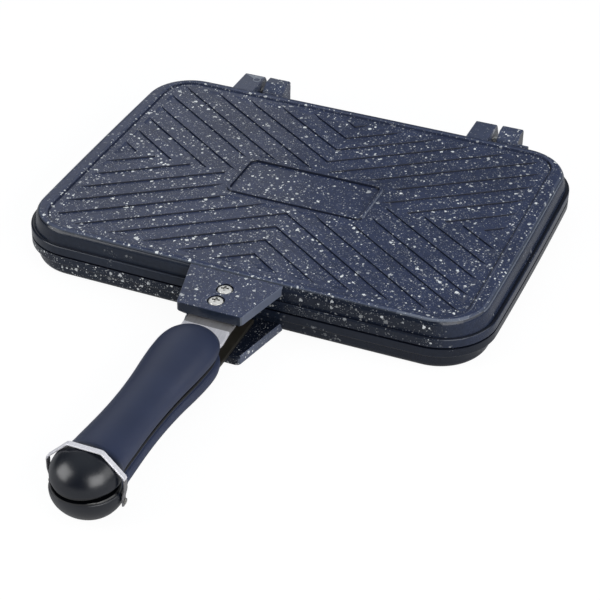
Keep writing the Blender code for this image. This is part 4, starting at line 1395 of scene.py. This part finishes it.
class TOASTER_OT_fasteners(Operator):
    """Screws and nuts of the brackets and grips"""
    bl_idname = "toaster.fasteners"
    bl_label = "Screws and Nuts"

    def execute(self, context):
        tree = row_tree()
        pan, _, sizes, _, _ = settings()
        middle = pan.height / 2
        bracket = [(distance, middle) for distance in (
            sizes.screw_first, sizes.screw_first + sizes.screw_step)]
        grip = [(distance, seam_level(distance)) for distance in grip_screw_stations]
        for side in sides:
            self.row(tree, "bracket_screw", self.bracket_screw(side), side, bracket,
                     math.radians(8), math.radians(9))
            self.row(tree, "bracket_nut", self.bracket_nut(side), side, bracket,
                     0.0, math.radians(14))
            self.row(tree, "grip_screw", self.grip_screw(side), side, grip, 0.4, 0.5)
        return {"FINISHED"}

    def row(self, tree, name, piece, side, stations, turn, spread):
        """Copy a piece, made for the lid, to its two stations on one side."""
        if side == base_side:
            piece.data.transform(Matrix.Rotation(math.pi, 4, "Y"))
        start, end = (Vector((0, -distance, place)) for distance, place in stations)
        name = word_of(side) + "_" + name
        item = bpy.data.objects.new(name + "s", bpy.data.meshes.new(name + "s"))
        bpy.context.scene.collection.objects.link(item)
        plating = finish("fastener_steel")
        run_tree(item, tree, {"Piece": piece, "Count": 2, "Start": start,
                              "Step": end - start, "Turn": turn, "Spread": spread,
                              "Material": plating})
        drop(piece)
        smooth(item)
        hand_over(item, body_of(side), "fastener_steel", [name + "_rear", name + "_front"],
                  plating)

    def bracket_screw(self, side):
        """Domed screw with a cross recess, with painted shade inside it."""
        pan, _, sizes, _, _ = settings()
        near, _ = tang_levels(side)
        seat = (pan.rim_gap / 2 + half_height() - by_side(sizes.bracket_drops, side)
                - sizes.seat_depth + sizes.gap)
        tip = near - sizes.gap - sizes.nut_height - pan.edge
        soft = sizes.screw_radius / 6
        rim = sizes.head_height * 0.35
        stations = [(tip, sizes.screw_radius - soft), (tip + soft, sizes.screw_radius),
                    (seat, sizes.screw_radius), (seat, sizes.head_radius - soft / 2),
                    (seat + soft / 2, sizes.head_radius)]
        stations += dome(seat + rim, sizes.head_height - rim, sizes.head_radius, 0.30, 8)
        piece = turned("bracket_screw", stations, along_z, 64)
        cut_cross(piece, cross_span, cross_width, seat + sizes.head_height, cross_depth)
        half_way = seat + sizes.head_height / 2
        # Painted shade inside the cross recess
        mark(piece, "metal_shade", lambda face: float(
            seat < face.center.z and math.hypot(*face.center.xy) < cross_span / 2 + 0.0001
            and (abs(face.normal.z) < 0.3 or face.center.z < half_way)))
        return piece

    def bracket_nut(self, side):
        """Hexagonal nut under the tang."""
        pan, _, sizes, _, _ = settings()
        top = tang_levels(side)[0] - sizes.gap
        bottom = top - sizes.nut_height
        radius = sizes.nut_width / math.sqrt(3)
        soft = pan.edge / 2
        stations = ((bottom, radius - soft), (bottom + soft, radius), (top - soft, radius),
                    (top, radius - soft))
        piece = turned("bracket_nut", stations, along_z, 6)
        bore(piece, (0, 0), sizes.screw_radius + sizes.gap, top - sizes.nut_height * 2,
             top + sizes.nut_height, along_z)
        return piece

    def grip_screw(self, side):
        """Slotted screw from the tang's inner face into the grip."""
        near, far = tang_levels(side)
        radius, head_radius, head_height = grip_screw_sizes
        head = near - settings()[2].gap
        low, tip = head - head_height, far + grip_screw_reach
        soft = radius / 5
        stations = ((low, head_radius - soft * 2), (low + soft, head_radius - soft / 2),
                    (low + soft * 2, head_radius), (head, head_radius), (head, radius),
                    (tip - soft, radius), (tip, radius - soft))
        piece = turned("grip_screw", stations, along_z, 40)
        slot_half, slot_depth = grip_screw_slot
        combine(piece, prism(box_outline(head_radius * 1.5, slot_half), low - slot_depth,
                             low + slot_depth, along_z), "DIFFERENCE")
        return piece


class TOASTER_OT_latch(Operator):
    """Strip loop over the ball end, with its pivot pins"""
    bl_idname = "toaster.latch"
    bl_label = "Latch"

    def execute(self, context):
        self.loop()
        self.pins()
        return {"FINISHED"}

    def path(self):
        """Outer line of the loop from one foot over the top to the other."""
        _, _, sizes, handle, _ = settings()
        top = (seam_level(handle.ball_centre) + handle.seam / 2 + handle.ball_heights[1]
               + sizes.gap + handle.strip_thickness)
        right = [(latch_corners[0][0], latch_pivot().z - latch_foot)]
        right += [(half, top - drop_of) for half, drop_of in latch_corners]
        return right + [(-x, z) for x, z in reversed(right)]

    def rounded_path(self):
        """The same line with its corners rounded."""
        path = [Vector(point) for point in self.path()]
        result = [path[0]]
        for before, here, after in zip(path, path[1:], path[2:]):
            start = here + (before - here).normalized() * latch_bend
            end = here + (after - here).normalized() * latch_bend
            for step in range(6):
                t = step / 5
                result.append(start * (1 - t) ** 2 + here * 2 * t * (1 - t) + end * t * t)
        return result + [path[-1]]

    def loop(self):
        handle = settings()[3]
        pivot = latch_pivot()
        path = self.rounded_path()
        thick = handle.strip_thickness
        section = strip_corners(handle.strip_width / 2, 0, thick, thick * 0.28)
        rings = []
        for index, point in enumerate(path):
            before = path[max(0, index - 1)]
            after = path[min(len(path) - 1, index + 1)]
            run = (after - before).normalized()
            inward = Vector((-run.y, run.x))
            spots = [(point + inward * depth, across) for across, depth in section]
            rings.append([Vector((spot.x, pivot.y + across, spot.y))
                          for spot, across in spots])
        item = make_object("latch_loop", loft(rings))
        foot = latch_corners[0][0]
        for sign in (1, -1):
            bore(item, (pivot.y, pivot.z), latch_hole, sign * (foot - 2 * thick),
                 sign * (foot + 2 * thick), along_x)
        smooth(item)
        # Painted shade on the loop's legs below this height
        shade = max(point.y for point in path) - latch_shade_drop
        mark(item, "metal_shade", lambda face: metal_shade_strength * float(face.center.z < shade))
        hand_over(item, "latch", "strip_steel", ["latch_bail"])

    def pins(self):
        pivot = latch_pivot()
        for name, sign in (("latch_pin_right", 1), ("latch_pin_left", -1)):
            item = turned(name + "_rivet", (*rivet_stations, *dome(*rivet_dome, 6)),
                          lambda u, v, w: Vector((sign * w, pivot.y + u, pivot.z + v)), 32)
            smooth(item)
            # Painted shade over the whole rivet
            mark(item, "metal_shade", lambda face: metal_shade_strength)
            hand_over(item, "base", "fastener_steel", [name])


class TOASTER_OT_stage(Operator):
    """Floor, studio lights and camera"""
    bl_idname = "toaster.stage"
    bl_label = "Stage"

    def execute(self, context):
        self.floor()
        self.world()
        for name, place, size, power in studio_lights:
            self.light(name, place, size, power)
        self.camera()
        context.scene.view_settings.view_transform = "Standard"
        return {"FINISHED"}

    def floor(self):
        """White floor that fades into the background and still takes soft shadows."""
        mesh_data = bmesh.new()
        corners = [mesh_data.verts.new((x, y, 0)) for x, y in box_outline(6.0, 6.0)]
        mesh_data.faces.new(corners)
        item = make_object("floor", mesh_data)
        item.location.z = -0.0003
        material = bpy.data.materials.new("floor_white")
        material.use_nodes = True
        material.node_tree.nodes.clear()
        writer = NodeWriter(material.node_tree)
        rays = writer.add("ShaderNodeLightPath")
        seen = writer.seen(rays)
        mirrored = writer.math("MULTIPLY", rays.outputs["Is Glossy Ray"], 0.12)
        part = writer.math("MAXIMUM", writer.math("MULTIPLY", seen, 0.88), mirrored)
        tone = writer.mix(seen, (0.42, 0.42, 0.43), (0.92, 0.92, 0.93))
        plain = writer.add("ShaderNodeBsdfDiffuse", {"Color": tone})
        bright = writer.add("ShaderNodeEmission", {"Color": (1, 1, 1, 1), "Strength": 1.06})
        writer.end_in("ShaderNodeOutputMaterial", part, plain, bright)
        item.data.materials.append(material)

    def world(self):
        """White to the camera; a dim room that is brighter above for the rest."""
        world = bpy.data.worlds.new("studio")
        bpy.context.scene.world = world
        world.use_nodes = True
        world.node_tree.nodes.clear()
        writer = NodeWriter(world.node_tree)
        rays = writer.add("ShaderNodeLightPath")
        way = writer.add("ShaderNodeTexCoord").outputs["Generated"]
        toward = writer.vector_math("DOT_PRODUCT", {0: way, 1: (-0.12, 0.25, 0.96)})
        upward = writer.math("MAXIMUM", toward.outputs["Value"], 0.0)
        room_level = writer.math("MULTIPLY_ADD", writer.math("POWER", upward, 3.0), 0.60,
                                 0.08)
        dimmed = writer.math("MULTIPLY_ADD", rays.outputs["Is Glossy Ray"], -0.45, 1.0)
        room = writer.add("ShaderNodeBackground", {
            "Color": (0.88, 0.94, 1, 1),
            "Strength": writer.math("MULTIPLY", room_level, dimmed)})
        white = writer.add("ShaderNodeBackground", {"Color": (1, 1, 1, 1), "Strength": 1.0})
        writer.end_in("ShaderNodeOutputWorld", writer.seen(rays), room, white)

    def light(self, name, place, size, power):
        """Softbox that faces the toaster."""
        data = bpy.data.lights.new(name, "AREA")
        data.shape = "RECTANGLE"
        data.size, data.size_y = size
        data.energy = power
        item = bpy.data.objects.new(name, data)
        bpy.context.scene.collection.objects.link(item)
        item.location = place
        aim = Vector((0, 0, 0.02)) - Vector(place)
        item.rotation_euler = aim.to_track_quat("-Z", "Y").to_euler()

    def camera(self):
        stage = bpy.context.scene.toaster_stage
        azimuth, elevation, roll = stage.azimuth, stage.elevation, stage.roll
        back = Vector((math.sin(azimuth) * math.cos(elevation),
                       -math.cos(azimuth) * math.cos(elevation), math.sin(elevation)))
        right = Vector((math.cos(azimuth), math.sin(azimuth), 0))
        up = back.cross(right)
        turned_right = right * math.cos(roll) + up * math.sin(roll)
        turned_up = up * math.cos(roll) - right * math.sin(roll)
        data = bpy.data.cameras.new("camera")
        data.sensor_width = 36.0
        data.sensor_fit = "HORIZONTAL"
        data.lens = stage.lens
        data.shift_x, data.shift_y = stage.shift
        data.clip_start = 0.01
        data.clip_end = 50.0
        item = bpy.data.objects.new("camera", data)
        bpy.context.scene.collection.objects.link(item)
        rotation = Matrix((turned_right, turned_up, back)).transposed().to_4x4()
        item.matrix_world = Matrix.Translation(Vector(stage.camera_place)) @ rotation
        bpy.context.scene.camera = item


class TOASTER_PT_panel(Panel):
    """Lists what the toaster is built from"""
    bl_idname = "TOASTER_PT_panel"
    bl_label = "Sandwich Toaster"
    bl_space_type = "VIEW_3D"
    bl_region_type = "UI"
    bl_category = "Toaster"

    def draw(self, context):
        layout = self.layout
        for operator in operators:
            layout.operator(operator.bl_idname)
        for name in groups:
            box = layout.box()
            box.label(text=groups[name].__name__)
            values = getattr(context.scene, name)
            for label in groups[name].__annotations__:
                box.prop(values, label)


groups = {
    "toaster_pan": PanSizes,
    "toaster_ribs": RibSizes,
    "toaster_fittings": FittingSizes,
    "toaster_handle": HandleSizes,
    "toaster_finishes": Finishes,
    "toaster_stage": StageSettings,
}
operators = (TOASTER_OT_stage, TOASTER_OT_pans, TOASTER_OT_hinge, TOASTER_OT_tangs,
             TOASTER_OT_grips, TOASTER_OT_fasteners, TOASTER_OT_latch)


def register():
    for item in (*groups.values(), *operators, TOASTER_PT_panel):
        bpy.utils.register_class(item)
    for name, group in groups.items():
        setattr(bpy.types.Scene, name, PointerProperty(type=group))


def unregister():
    for name in groups:
        delattr(bpy.types.Scene, name)
    for item in reversed((*groups.values(), *operators, TOASTER_PT_panel)):
        bpy.utils.unregister_class(item)


def main():
    register()
    bpy.ops.toaster.stage()
    bpy.ops.toaster.pans()
    bpy.ops.toaster.hinge()
    bpy.ops.toaster.tangs()
    bpy.ops.toaster.grips()
    bpy.ops.toaster.fasteners()
    bpy.ops.toaster.latch()


if __name__ == "__main__":
    main()
